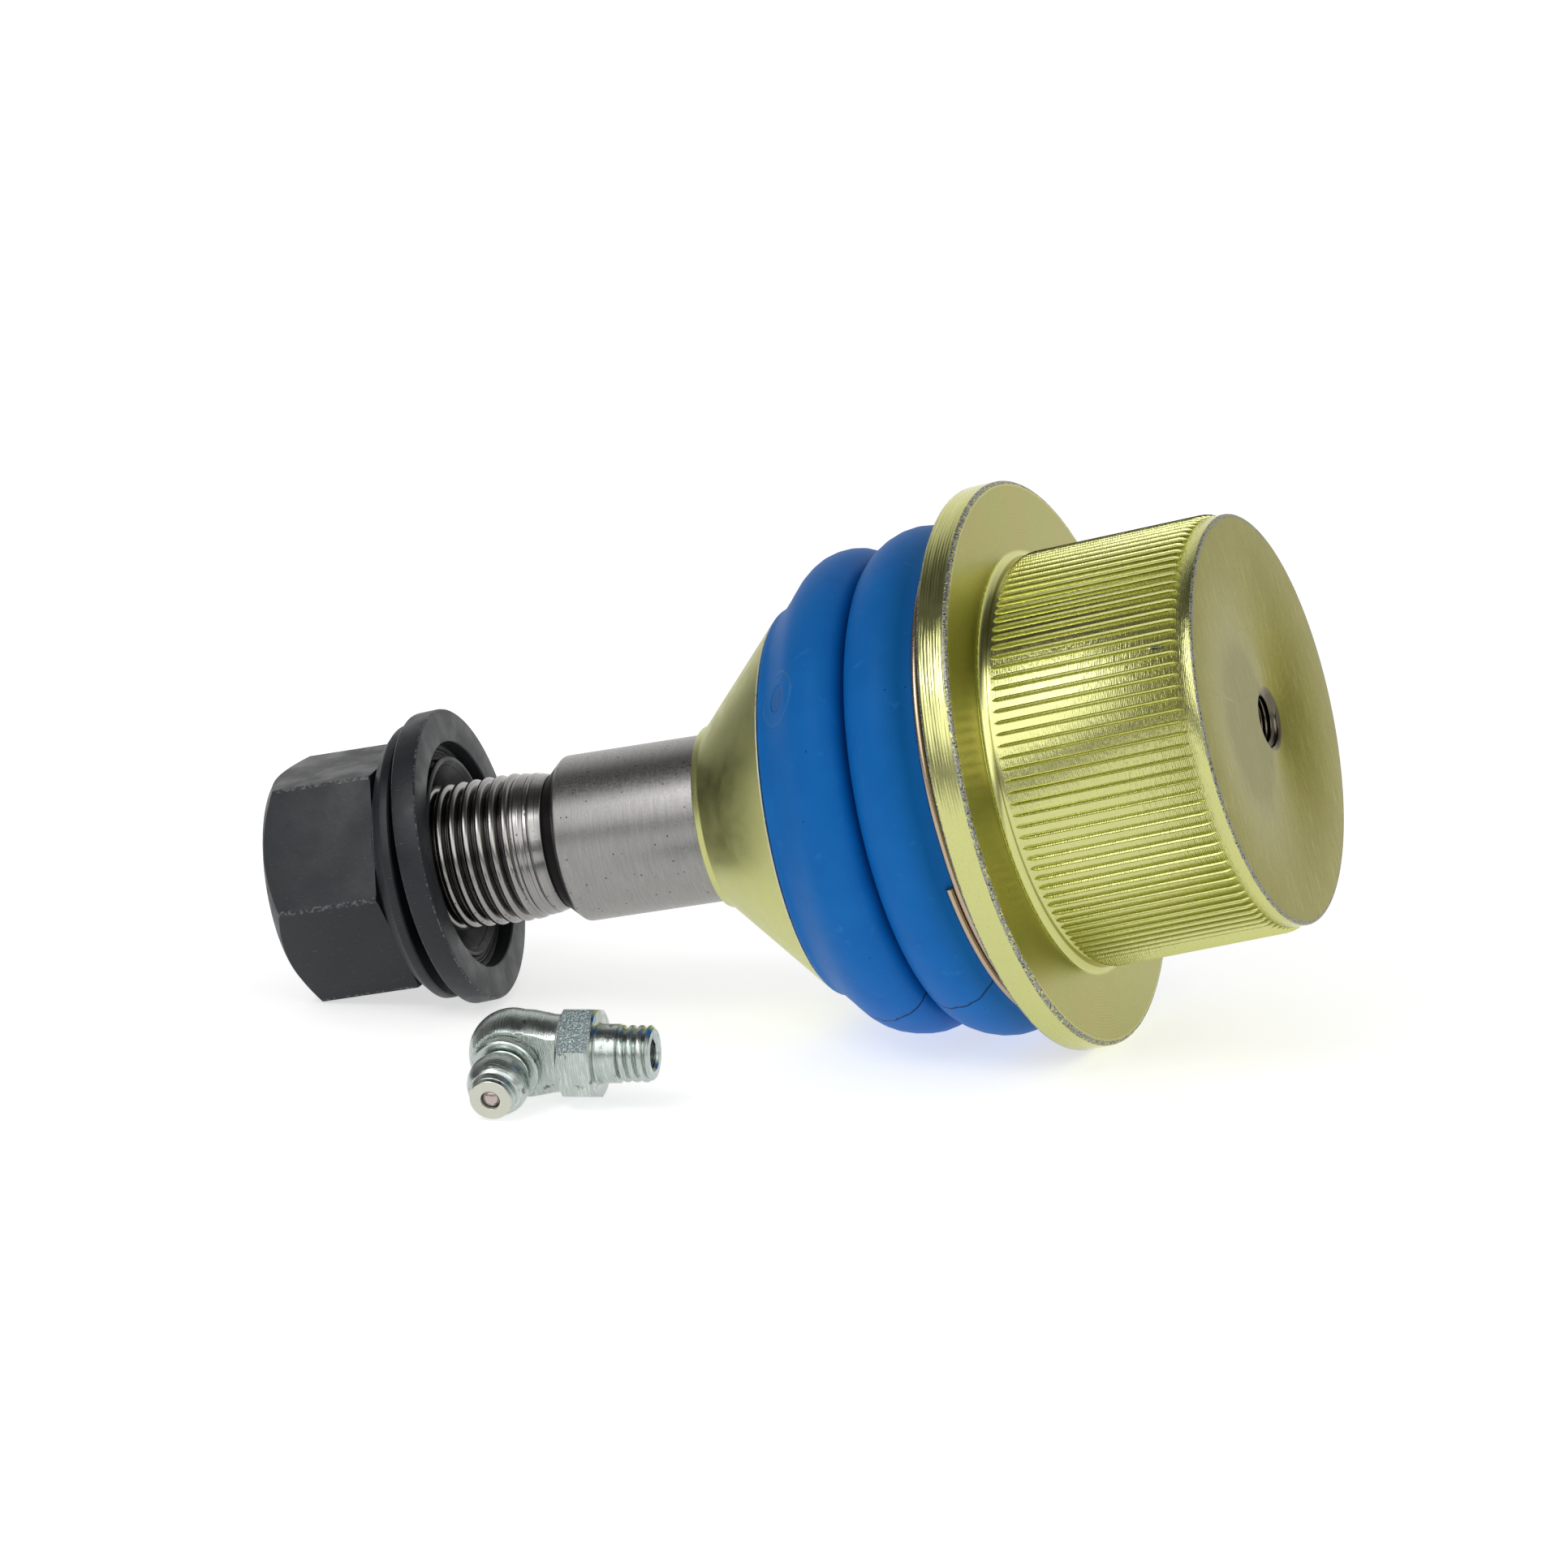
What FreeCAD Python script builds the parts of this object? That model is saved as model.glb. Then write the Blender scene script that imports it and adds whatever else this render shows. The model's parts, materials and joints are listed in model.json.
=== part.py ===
import FreeCAD, Part
import math
import os

from FreeCAD import Placement, Rotation, Vector

# A suspension ball joint lying on its side, with its grease fitting loose beside it.
# Millimetres, +Z up from the table, +X along the stud towards the housing.
# The ball's centre is the working origin until everything is centred on the table at the end.

# How the joint lies on the table, in degrees
housing_lift = 3.7          # how much steeper the housing's axis is than the stud's
housing_swing = -4.9        # the housing's axis from the stud's, seen from above
washer_lean = 2.9           # how far the loose washer leans on the nut
swing_limit = 22.0          # how far the stud can tilt from the housing's axis, at most

# Clearances
run = 0.04                  # turning and sliding fits, on the radius
seat = 0.05                 # between pieces that are clamped together
soft_gap = 0.3              # between rubber and metal on another body
edge = 0.3                  # small broken edges

# Stud: the ball, then everything in order towards the nut
ball_radius = 15.0
ball_flat_radius = 6.5      # flat on the ball's far pole
neck_radius = 7.0
neck_length = 2.5           # from the ball's surface to the flare
flare_length = 3.7          # from the neck to the full shank
shank_radius = 9.0
grip_length = 15.0          # bare shank between the cup and the thread's shoulder
shoulder_length = 2.6
undercut_depth = 0.9        # below the thread's crests
undercut_length = 1.4
thread_radius = 8.0
thread_pitch = 1.5
thread_length = 28.2

# Housing: the socket's walls, then the flange and the barrel towards the closed end
shell_wall = 3.5            # bearing shell between the ball and the housing
nose_wall = 1.4             # wall of the nose that the boot covers
lip_thick = 0.75            # lip rolled over the closing ring
lip_width = 1.5
flange_near = 3.0           # from the ball's centre to the flange
flange_thick = 3.5
flange_width = 8.45         # how far the flange stands out from the barrel
flange_edge = 0.35
bead_seat_step = 4.1        # the shoulder that the boot's bead grips, above the nose
bead_seat_length = 4.6
root_fillet = 1.25
barrel_wall = 3.45
knurl_depth = 0.05          # how far the surface between the ridges lies below the pilot
knurl_height = 0.45         # how far the ridges stand above it
knurl_base = 0.6            # width of one ridge at its foot
knurl_count = 112
knurl_start = 1.3           # from the flange's seat
knurl_gap = 1.75            # length of the smooth pilot at the closed end
knurl_taper = 0.9           # length over which the ridges run out
pilot_edge = 0.35

# Grease port in the closed end
port_radius = 3.04
port_depth = 8.5
port_cone = 1.7             # the drill's cone at the port's floor
port_mouth = 0.35
port_web = 1.4              # metal between the cone and the socket
channel_radius = 1.3

# Bearing shells, spring washer and closing ring
shell_split = -0.8          # plane between the two shells, from the ball's centre
shell_floor = 1.85
shell_chamfer = 2.2
spring_thick = 0.9
spring_height = 1.61        # of the whole coned washer
spring_bore = 8.0
spring_inset = 2.0          # from the socket's wall to the washer's rim
closing_thick = 2.0
closing_room = 1.6          # between the neck at its limit and the ring
closing_chamfer = 0.6
closing_gap = 0.65          # from the ball to the ring

# Boot, its rings and the cup
boot_wall = 1.7
boot_span = 10.2            # from the housing's nose to the cup's rim
bead_thick = 1.3
bead_grip = 3.6             # length of the bead's grip
near_fold_reach = 6.3       # from the flange to the middle of the near fold
near_fold_drop = 0.7        # from the bead's seat down to that middle
near_fold_round = 4.1
far_fold_reach = 7.7        # from the cup's rim to the middle of the far fold
far_fold_rise = 1.35        # from the housing's nose out to that middle
far_fold_round = 4.75
valley_rise = 2.3           # from the nose out to the valley between the folds
band_length = 2.3           # smooth band of rubber before the cup's rim
band_rise = 0.3
clip_wire = 0.85
clip_pitch = 0.9
clip_gap = 0.15             # between the wire and the flange
clip_turns = 1.83
clip_start_turn = 105.0     # where the wire starts, from straight up towards -Y
cup_flare = 11.5            # from the shank out to the cup's rim
cup_wall = 1.3
cup_length = 10.9
cup_gap = 0.2               # between the cup and the rubber
cup_hub_wall = 1.0
cup_hub_length = 2.6
cup_round = 0.8
neck_ring_rise = 3.4        # from the shank out to the ring moulded into the boot
neck_ring_wall = 1.3
neck_ring_length = 3.0
neck_ring_inset = 1.6       # from the cup's rim

# Nut and captive washer
nut_cover = 0.8             # how far the nut reaches past the thread's end
hex_flats = 24.0
hex_length = 12.8
hex_turn = 27.0             # from straight up towards -Y, to the first corner
nut_groove = 0.7
collar_rise = 1.1           # from the hexagon's corners to the collar's rim
collar_length = 2.2
spigot_wall = 2.0
spigot_length = 3.55
spigot_lip = 1.0
spigot_lip_length = 0.6
washer_slack = 0.65         # between the spigot and the washer's bore
washer_web_width = 1.7
washer_rim_width = 3.65
washer_thick = 2.8
washer_web = 1.0
washer_gap = 1.1            # from the collar's face to the middle of the washer's back
washer_edge = 0.3

# Loose grease fitting: its long axis lies along +X, its head points towards -Y
fitting_place = (-43.2, -38.2)     # the elbow's centre from the ball's centre, in plan
fitting_rise = 3.4
head_dip = 15.0
elbow_radius = 4.7
tube_radius = 4.05
fitting_hex_flats = 9.0
fitting_hex_start = 5.6
fitting_hex_length = 3.7
fitting_neck_length = 2.3
fitting_thread_length = 3.5
fitting_thread_slack = 0.07
fitting_bore = 1.55
head_collar_radius = 3.6
head_collar_start = 2.6
head_collar_end = 4.1
head_groove_radius = 2.45
head_groove_end = 4.9
head_ball_radius = 3.25
head_ball_place = 6.5
head_face_radius = 2.25
head_end = 9.9
head_spigot_wall = 0.85
head_spigot_start = 0.6
head_floor = 1.0
head_lip = 0.5
check_ball_radius = 1.2
check_ball_room = 0.15      # round the ball in its bore
check_ball_gap = 0.02       # from the ball to the edge of its mouth
check_mouth_step = 0.22     # how much smaller the mouth is than the ball
check_coil_step = 0.25
check_wire = 0.3
check_coils = 4
wire_sides = 6
clip_steps = 26             # flat steps in one turn of the clip's wire
check_steps = 10            # and of the check spring's

origin = Vector(0, 0, 0)
along = Vector(1, 0, 0)
across = Vector(0, 1, 0)
up = Vector(0, 0, 1)


def corner(point):
    """A place in the half plane that holds the turning axis."""
    return Vector(point[0], 0, point[1])


def turned(start, *steps):
    """A solid of revolution about X. A step is a corner, or a pair (via, end) for an arc."""
    edges, here = [], start
    for step in steps + (start,):
        if isinstance(step[0], tuple):
            via, here_next = step
            edges.append(Part.Arc(corner(here), corner(via), corner(here_next)).toShape())
        else:
            here_next = step
            edges.append(Part.makeLine(corner(here), corner(here_next)))
        here = here_next
    return Part.Face(Part.Wire(edges)).revolve(origin, along, 360)


def rod(radius, start, end):
    return Part.makeCylinder(radius, end - start, Vector(start, 0, 0), along)


def hexagon(flats, start, end, turn=0.0):
    """A hexagonal bar along X, its first corner turned from +Z."""
    reach = flats / math.sqrt(3)
    angles = [math.radians(turn + 60 * k) for k in range(7)]
    points = [Vector(start, reach * math.sin(a), reach * math.cos(a)) for a in angles]
    return Part.Face(Part.makePolygon(points)).extrude(Vector(end - start, 0, 0))


def on_sphere(radius, place):
    """The radius of a sphere's section at a distance from its centre."""
    return math.sqrt(radius ** 2 - place ** 2)


def rest_incline():
    """The stud's incline at which the flange rests at one height with the washer or the nut."""
    def gap(incline):
        housing = math.radians(incline + housing_lift)
        washer = math.radians(incline + washer_lean)
        flange_low = ((flange_near + flange_edge) * math.sin(housing)
                      - flange_radius * math.cos(housing))
        washer_low = (-(washer_place + washer_thick) * math.sin(math.radians(incline))
                      + washer_edge * math.sin(washer) - washer_radius * math.cos(washer))
        corner_turn = math.radians(min(hex_turn % 60, 60 - hex_turn % 60))
        nut_low = (-(nut_end - hex_chamfer) * math.sin(math.radians(incline))
                   - hex_radius * math.cos(corner_turn) * math.cos(math.radians(incline)))
        return flange_low - min(washer_low, nut_low)
    low, high = 0.0, 45.0
    while high - low > 1e-6:
        middle = (low + high) / 2
        if gap(middle) > 0:
            high = middle
        else:
            low = middle
    return low


def closing_place():
    """Where the closing ring ends and how wide it opens, so that the neck clears it at its limit."""
    limit = math.radians(swing_limit)

    def opening(reach):
        return reach * math.tan(limit) + neck_radius / math.cos(limit) + closing_room

    low, high = 0.0, ball_radius
    while high - low > 1e-6:
        reach = (low + high) / 2
        place = on_sphere(ball_radius, min(opening(reach), ball_radius))
        if reach > place + closing_gap + closing_thick:
            high = reach
        else:
            low = reach
    return reach, opening(reach)


# Radii and places that follow from the sizes above
cavity_radius = ball_radius + shell_wall
nose_radius = cavity_radius + nose_wall
bead_seat_radius = nose_radius + bead_seat_step
barrel_radius = cavity_radius + barrel_wall
flange_radius = barrel_radius + flange_width
undercut_radius = thread_radius - undercut_depth
hex_radius = hex_flats / math.sqrt(3)
hex_end_radius = 0.97 * hex_flats / 2
hex_chamfer = (hex_radius - hex_end_radius) * math.tan(math.radians(30))
spigot_radius = thread_radius + spigot_wall
washer_bore = spigot_radius + washer_slack
washer_recess_radius = washer_bore + washer_web_width
washer_radius = washer_recess_radius + washer_rim_width
cup_rim_radius = shank_radius + cup_flare
cup_hub_radius = shank_radius + cup_hub_wall
fitting_thread_radius = port_radius - fitting_thread_slack

flange_seat = flange_near + flange_thick
shell_end = ball_radius + run + shell_floor
cavity_end = shell_end + seat + spring_height + seat
port_floor = cavity_end + port_web + port_cone
barrel_end = port_floor + port_depth
closing_reach, closing_opening = closing_place()
nose_end = -closing_reach - seat - lip_thick
cup_rim = boot_span - nose_end
cup_end = cup_rim + cup_length
ball_exit = on_sphere(ball_radius, neck_radius)
neck_end = ball_exit + neck_length
shank_start = neck_end + flare_length
shank_end = cup_end + grip_length
thread_start = shank_end + shoulder_length + undercut_length
stud_end = thread_start + thread_length
nut_end = stud_end + nut_cover
hex_start = nut_end - hex_length
collar_face = hex_start - nut_groove - collar_length
washer_place = collar_face - washer_gap - washer_thick

head_cavity_radius = check_ball_radius + check_ball_room
head_mouth_radius = check_ball_radius - check_mouth_step
head_spigot_radius = head_cavity_radius + head_spigot_wall
check_ball_place = (head_end - head_lip - check_ball_gap
                    - on_sphere(check_ball_radius, head_mouth_radius))
stud_incline = rest_incline()
housing_incline = stud_incline + housing_lift

# Directions in the table's frame
nut_turning = Rotation(across, 180 - stud_incline)
housing_turning = Rotation(up, housing_swing).multiply(Rotation(across, -housing_incline))
to_nut = nut_turning.multVec(along)
stud_axis = to_nut * -1
housing_axis = housing_turning.multVec(along)
tilt_axis = stud_axis.cross(housing_axis).normalize()
rest_tilt = math.degrees(stud_axis.getAngle(housing_axis))


def ball_stud():
    flat_place = on_sphere(ball_radius, ball_flat_radius)
    throat = (ball_exit + neck_end) / 2
    shoulder_end = shank_end + shoulder_length
    drop = shank_radius - undercut_radius
    tip_chamfer = 0.6 * thread_pitch
    relief = 0.3
    return turned(
        (-flat_place, 0), (-flat_place, ball_flat_radius),
        ((0, ball_radius), (ball_exit, neck_radius)),
        ((throat, neck_radius - 0.25), (neck_end, neck_radius)),
        (shank_start, shank_radius), (shank_end, shank_radius),
        ((shank_end + 0.45 * shoulder_length, shank_radius - 0.2 * drop),
         (shoulder_end, undercut_radius + 0.35 * drop)),
        (shoulder_end, undercut_radius),
        (thread_start - relief, undercut_radius), (thread_start + relief, thread_radius),
        (stud_end - tip_chamfer, thread_radius),
        (stud_end, thread_radius - tip_chamfer), (stud_end, 0))


def housing_body():
    """The housing under its knurl, with the cavity for the ball left open at the nose."""
    core_radius = barrel_radius - 2 * knurl_height
    lip_radius = cavity_radius - lip_width
    step = flange_near - bead_seat_length
    fillet_mid = root_fillet * (1 - math.sqrt(0.5))
    return turned(
        (nose_end, lip_radius), (nose_end, nose_radius - edge), (nose_end + edge, nose_radius),
        (step, nose_radius), (step, bead_seat_radius - edge), (step + edge, bead_seat_radius),
        (flange_near, bead_seat_radius),
        (flange_near, flange_radius - flange_edge),
        (flange_near + flange_edge, flange_radius),
        (flange_seat - flange_edge, flange_radius),
        (flange_seat, flange_radius - flange_edge),
        (flange_seat, barrel_radius + root_fillet),
        ((flange_seat + fillet_mid, barrel_radius + fillet_mid),
         (flange_seat + root_fillet, barrel_radius)),
        (flange_seat + knurl_start, barrel_radius), (flange_seat + knurl_start, core_radius),
        (barrel_end - knurl_gap, core_radius), (barrel_end - knurl_gap, barrel_radius),
        (barrel_end - pilot_edge, barrel_radius),
        (barrel_end, barrel_radius - pilot_edge),
        (barrel_end, port_radius + port_mouth),
        (barrel_end - port_mouth, port_radius),
        (port_floor, port_radius), (port_floor - port_cone, channel_radius),
        (cavity_end, channel_radius),
        (cavity_end, cavity_radius), (-closing_reach - seat, cavity_radius),
        (-closing_reach - seat, lip_radius))


def knurled_sleeve():
    """The straight knurl in flat faces: each ridge rises from a point, runs on and falls to one."""
    ends = (flange_seat + knurl_start, barrel_end - knurl_gap)
    full = (ends[0] + knurl_taper, ends[1] - knurl_taper)
    valley = barrel_radius - knurl_depth
    crest = barrel_radius + knurl_height
    half = knurl_base / 2 / barrel_radius
    step = 2 * math.pi / knurl_count

    def spots(places, radius, angle):
        return [Vector(place, radius * math.sin(angle), radius * math.cos(angle)) for place in places]

    outlines = []
    for k in range(knurl_count):
        tip, next_tip = spots(ends, valley, k * step), spots(ends, valley, (k + 1) * step)
        left, right = spots(full, valley, k * step - half), spots(full, valley, k * step + half)
        next_left = spots(full, valley, (k + 1) * step - half)
        ridge = spots(full, crest, k * step)
        outlines += [[left[0], left[1], ridge[1], ridge[0]], [ridge[0], ridge[1], right[1], right[0]],
                     [right[0], right[1], next_left[1], next_left[0]]]
        for e in (0, 1):
            outlines += [[tip[e], left[e], ridge[e]], [tip[e], ridge[e], right[e]],
                         [tip[e], right[e], next_left[e], next_tip[e]]]
    for e in (0, 1):
        outlines.append([spots(ends, valley, k * step)[e] for k in range(knurl_count)])
    shell = Part.Shell([Part.Face(Part.makePolygon(o + o[:1])) for o in outlines])
    shell.sewShape()
    sleeve = Part.Solid(shell)
    if sleeve.Volume < 0:
        sleeve.reverse()
    return sleeve.cut(rod(cavity_radius + barrel_wall / 3, flange_seat, barrel_end))


def housing():
    """The body, with the knurl filling the groove left for it."""
    return housing_body().fuse(knurled_sleeve())


def lower_bearing_cup():
    outer = cavity_radius - seat
    sphere = ball_radius + run
    start = shell_split + seat
    half = math.sqrt(0.5)
    return turned(
        (start, outer), (shell_end - shell_chamfer, outer), (shell_end, outer - shell_chamfer),
        (shell_end, channel_radius), (on_sphere(sphere, channel_radius), channel_radius),
        ((sphere * half, sphere * half), (start, on_sphere(sphere, start))))


def upper_bearing_ring():
    outer = cavity_radius - seat
    sphere = ball_radius + run
    start = closing_thick - closing_reach + seat
    middle = (start + shell_split) / 2
    return turned(
        (start, outer), (shell_split, outer), (shell_split, on_sphere(sphere, shell_split)),
        ((middle, on_sphere(sphere, middle)), (start, on_sphere(sphere, start))))


def closing_ring():
    outer = cavity_radius - seat
    near = -closing_reach
    return turned(
        (near, closing_opening + closing_chamfer), (near + closing_chamfer, closing_opening),
        (near + closing_thick, closing_opening), (near + closing_thick, outer), (near, outer))


def spring_washer():
    """A coned spring washer that presses the shells onto the ball."""
    narrow = shell_end + seat
    wide = narrow + spring_height
    rim = cavity_radius - spring_inset
    return turned(
        (narrow, spring_bore), (narrow + spring_thick, spring_bore),
        (wide, rim), (wide - spring_thick, rim))


def arc_points(centre, radius, first, last, count):
    """Points along an arc of the boot's section, angles in degrees from the axis direction."""
    steps = [math.radians(first + (last - first) * k / count) for k in range(count + 1)]
    return [(centre[0] + radius * math.cos(a), centre[1] + radius * math.sin(a)) for a in steps]


def bent_ring(place, radius):
    """A circle about the boot's curved middle line, from the housing's axis to the stud's."""
    share = min(max((-place - 1.0) / (cup_rim - band_length - 1.0), 0.0), 1.0)
    share = share * share * (3 - 2 * share)
    turning = Rotation(tilt_axis, -share * rest_tilt)
    direction = turning.multVec(housing_axis)
    return Part.Wire(Part.makeCircle(radius, direction * place, direction))


def boot():
    """The rubber boot: two folds, a bead at the flange and a thick neck inside the cup."""
    near = (flange_near - near_fold_reach, bead_seat_radius - near_fold_drop)
    far = (far_fold_reach - cup_rim, nose_radius + far_fold_rise)
    valley = ((near[0] - near_fold_round + far[0] + far_fold_round) / 2, nose_radius + valley_rise)
    grip_radius = bead_seat_radius + soft_gap
    bead_end = flange_near - soft_gap
    band = (band_length - cup_rim, cup_rim_radius + band_rise)
    rim_end = cup_gap - cup_rim
    plug_end = cup_hub_length + cup_wall - cup_end
    bore = shank_radius + soft_gap
    outer = [(bead_end, grip_radius + bead_thick)]
    outer += arc_points(near, near_fold_round, 34, 186, 4)
    outer += [valley]
    outer += arc_points(far, far_fold_round, 6, 176, 4)
    outer += [band, (rim_end, band[1])]
    outer += [(rim_end, cup_rim_radius - cup_wall - cup_gap), (plug_end, cup_hub_radius + 0.9)]
    inner = [(bead_end, grip_radius), (bead_end - bead_grip + soft_gap, grip_radius)]
    inner += arc_points(near, near_fold_round - boot_wall, 35, 186, 2)
    inner += [(near[0] - near_fold_round, valley[1] - 1.0)]
    inner += [(far[0] + far_fold_round - 1.0, valley[1] - 1.0)]
    inner += arc_points(far, far_fold_round - boot_wall, 10, 200, 2)
    inner += [(band[0], band[1] - 3.2), (band[0] - 0.4, bore), (plug_end, bore)]
    rings = [bent_ring(*p) for p in outer + inner[::-1]]
    bands = [Part.makeRuledSurface(a, b) for a, b in zip(rings, rings[1:] + rings[:1])]
    skin = Part.Solid(Part.Shell([face for band in bands for face in band.Faces]))
    if skin.Volume < 0:
        skin.reverse()
    return skin.cut(placed(neck_ring(soft_gap), nut_turning))


def neck_ring(grow=0.0):
    """The ring moulded into the boot's neck."""
    start = cup_rim + neck_ring_inset
    outside = shank_radius + neck_ring_rise
    inside = outside - neck_ring_wall
    return turned(
        (start - grow, inside - grow), (start - grow, outside + grow),
        (start + neck_ring_length + grow, outside + grow),
        (start + neck_ring_length + grow, inside - grow))


def coil(radius, wire, pitch, turns, steps):
    """A wire wound about +X from the origin, with its ends cut square."""
    sections = []
    for k in range(math.ceil(turns * steps) + 1):
        angle = min(k / steps, turns) * 2 * math.pi
        outward = Vector(0, math.sin(angle), math.cos(angle))
        middle = outward * radius + along * (pitch * angle / 2 / math.pi)
        sides = [2 * math.pi * (n + 0.5) / wire_sides for n in range(wire_sides + 1)]
        points = [middle + outward * (wire / 2 * math.cos(a)) + along * (wire / 2 * math.sin(a))
                  for a in sides]
        sections.append(Part.makePolygon(points))
    return Part.makeLoft(sections, True, True)


def clip_ring():
    """A wire ring of nearly two turns that holds the boot's bead on the housing."""
    bead = bead_seat_radius + soft_gap + bead_thick
    radius = (bead + clip_wire / 2 + 0.05) / math.cos(math.pi / clip_steps)
    wire = coil(radius, clip_wire, clip_pitch, clip_turns, clip_steps).mirror(origin, across)
    wire.rotate(origin, along, clip_start_turn)
    wire.translate(along * (flange_near - clip_gap - clip_wire / 2 - clip_turns * clip_pitch))
    return wire


def neck_cup():
    """The coned cup that holds the boot's neck on the shank."""
    slope = (cup_rim_radius - cup_hub_radius) / (cup_length - cup_round)
    bore = shank_radius + run
    hub_start = cup_end - cup_hub_length
    hub_inside = cup_hub_radius - cup_wall + slope * (cup_hub_length - cup_round)
    bulge = 0.3 * cup_round
    return turned(
        (cup_rim, cup_rim_radius), (cup_rim, cup_rim_radius - cup_wall),
        (hub_start, hub_inside), (hub_start, bore), (cup_end, bore),
        (cup_end, cup_hub_radius - cup_round),
        ((cup_end - bulge, cup_hub_radius - bulge), (cup_end - cup_round, cup_hub_radius)))


def flange_nut():
    """A long hexagon, a thin collar and a spigot whose lip keeps the washer on."""
    flat_radius = hex_flats / 2
    bore = thread_radius + run
    lip_end = collar_face - spigot_length
    lip_radius = spigot_radius + spigot_lip
    collar_radius = hex_radius + collar_rise
    collar_back = collar_face + collar_length
    body = hexagon(hex_flats, hex_start, nut_end, 180 - hex_turn)
    ends = turned(
        (hex_start, 0), (hex_start, flat_radius + edge), (hex_start + edge, hex_radius + 0.1),
        (nut_end - hex_chamfer, hex_radius + 0.1), (nut_end, hex_end_radius), (nut_end, 0))
    tail = turned(
        (lip_end, 0), (lip_end, lip_radius - edge), (lip_end + edge, lip_radius),
        (lip_end + spigot_lip_length, lip_radius), (lip_end + spigot_lip_length, spigot_radius),
        (collar_face, spigot_radius), (collar_face, collar_radius - edge),
        (collar_face + edge, collar_radius), (collar_back - collar_rise, collar_radius),
        (collar_back, hex_radius), (collar_back, flat_radius - edge),
        (hex_start, flat_radius - edge), (hex_start, 0))
    hole = turned(
        (lip_end - 1, 0), (lip_end - 1, bore + 1.6), (lip_end + 0.6, bore),
        (nut_end - 0.6, bore), (nut_end + 1, bore + 1.6), (nut_end + 1, 0))
    return body.common(ends).fuse(tail).cut(hole).removeSplitter()


def captive_washer():
    """The loose washer: a deep rim with a thin web that runs on the nut's spigot."""
    back = washer_place + washer_thick
    washer = turned(
        (washer_place, washer_recess_radius + edge), (washer_place, washer_radius - washer_edge),
        (washer_place + washer_edge, washer_radius), (back - washer_edge, washer_radius),
        (back, washer_radius - washer_edge), (back, washer_bore),
        (back - washer_web, washer_bore), (back - washer_web, washer_recess_radius),
        (washer_place + edge, washer_recess_radius))
    washer.rotate(Vector(back, 0, 0), across, -washer_lean)
    return washer


def fitting_body():
    """The bent grease fitting: elbow, hexagon, neck and threaded end, with its bores."""
    hex_end = fitting_hex_start + fitting_hex_length
    neck_stop = hex_end + fitting_neck_length
    end = neck_stop + fitting_thread_length
    reach = fitting_hex_flats / math.sqrt(3)
    flat = fitting_hex_flats / 2
    neck = fitting_thread_radius + 0.1
    root = 0.5
    tube = turned(
        (0, 0), (0, elbow_radius - 0.1), (fitting_hex_start, tube_radius),
        (fitting_hex_start + root, tube_radius), (fitting_hex_start + root, 0))
    hex_bar = hexagon(fitting_hex_flats, fitting_hex_start, hex_end, 30)
    hex_ends = turned(
        (fitting_hex_start, 0), (fitting_hex_start, flat), (fitting_hex_start + root, reach + 0.05),
        (hex_end - root, reach + 0.05), (hex_end, flat), (hex_end, 0))
    shank = turned(
        (hex_end - root, 0), (hex_end - root, neck), (neck_stop, neck),
        (neck_stop + 0.1, fitting_thread_radius), (end - root, fitting_thread_radius),
        (end, fitting_thread_radius - root), (end, 0))
    above = Part.makeCylinder(2 * elbow_radius, elbow_radius, up * head_collar_start, up)
    elbow = Part.makeSphere(elbow_radius).cut(above)
    solid = elbow.fuse([tube.cut(above), hex_bar.common(hex_ends), shank])
    head_seat = Part.makeCylinder(
        head_spigot_radius + seat, head_collar_start, up * (head_spigot_start - seat), up)
    passage = rod(fitting_bore, 0, end + 1)
    return solid.cut([head_seat, passage]).removeSplitter()


def fitting_head():
    """The nipple pressed into the elbow, along +X here, hollow for its ball and spring."""
    ball_start = head_ball_place - head_groove_end
    lean = 0.75 * head_ball_radius
    mouth_end = head_end - head_lip
    floor = head_spigot_start + head_floor
    vent = 0.6 * head_mouth_radius
    return turned(
        (head_spigot_start, vent), (head_spigot_start, head_spigot_radius),
        (head_collar_start + seat, head_spigot_radius),
        (head_collar_start + seat, head_collar_radius - edge),
        (head_collar_start + seat + edge, head_collar_radius),
        (head_collar_end - edge, head_collar_radius), (head_collar_end, head_collar_radius - edge),
        (head_collar_end, head_groove_radius), (head_groove_end - edge, head_groove_radius),
        (head_groove_end, on_sphere(head_ball_radius, ball_start)),
        ((head_ball_place, head_ball_radius),
         (head_ball_place + on_sphere(head_ball_radius, lean), lean)),
        (head_end - 0.2, head_face_radius), (head_end, head_face_radius - 0.2),
        (head_end, head_mouth_radius), (mouth_end, head_mouth_radius),
        (mouth_end - 0.45, head_cavity_radius), (floor, head_cavity_radius), (floor, vent))


def check_ball():
    return Part.makeSphere(check_ball_radius, Vector(check_ball_place, 0, 0))


def check_spring():
    """The coil that holds the check ball against its mouth."""
    coil_radius = check_ball_radius - check_coil_step
    start = head_spigot_start + head_floor + check_wire / 2 + 0.02
    top = check_ball_place - on_sphere(check_ball_radius, coil_radius) - 0.75 * check_wire
    pitch = (top - start) / check_coils
    spring = coil(coil_radius, check_wire, pitch, check_coils, check_steps)
    spring.translate(along * start)
    return spring


def placed(shape, turning):
    """A copy turned from its own X axis into the table's frame."""
    copy = shape.copy()
    copy.Placement = Placement(origin, turning).multiply(copy.Placement)
    return copy


def lowest(shapes):
    return min(p.z for s in shapes for p in s.tessellate(0.05)[0])


# The head stands square to the fitting's long axis, dipped below level
fitting_turning = Rotation(across, -fitting_rise).multiply(Rotation(along, 90 + head_dip))
head_axis = fitting_turning.multVec(up)
head_turning = fitting_turning.multiply(Rotation(across, -90))

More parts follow.
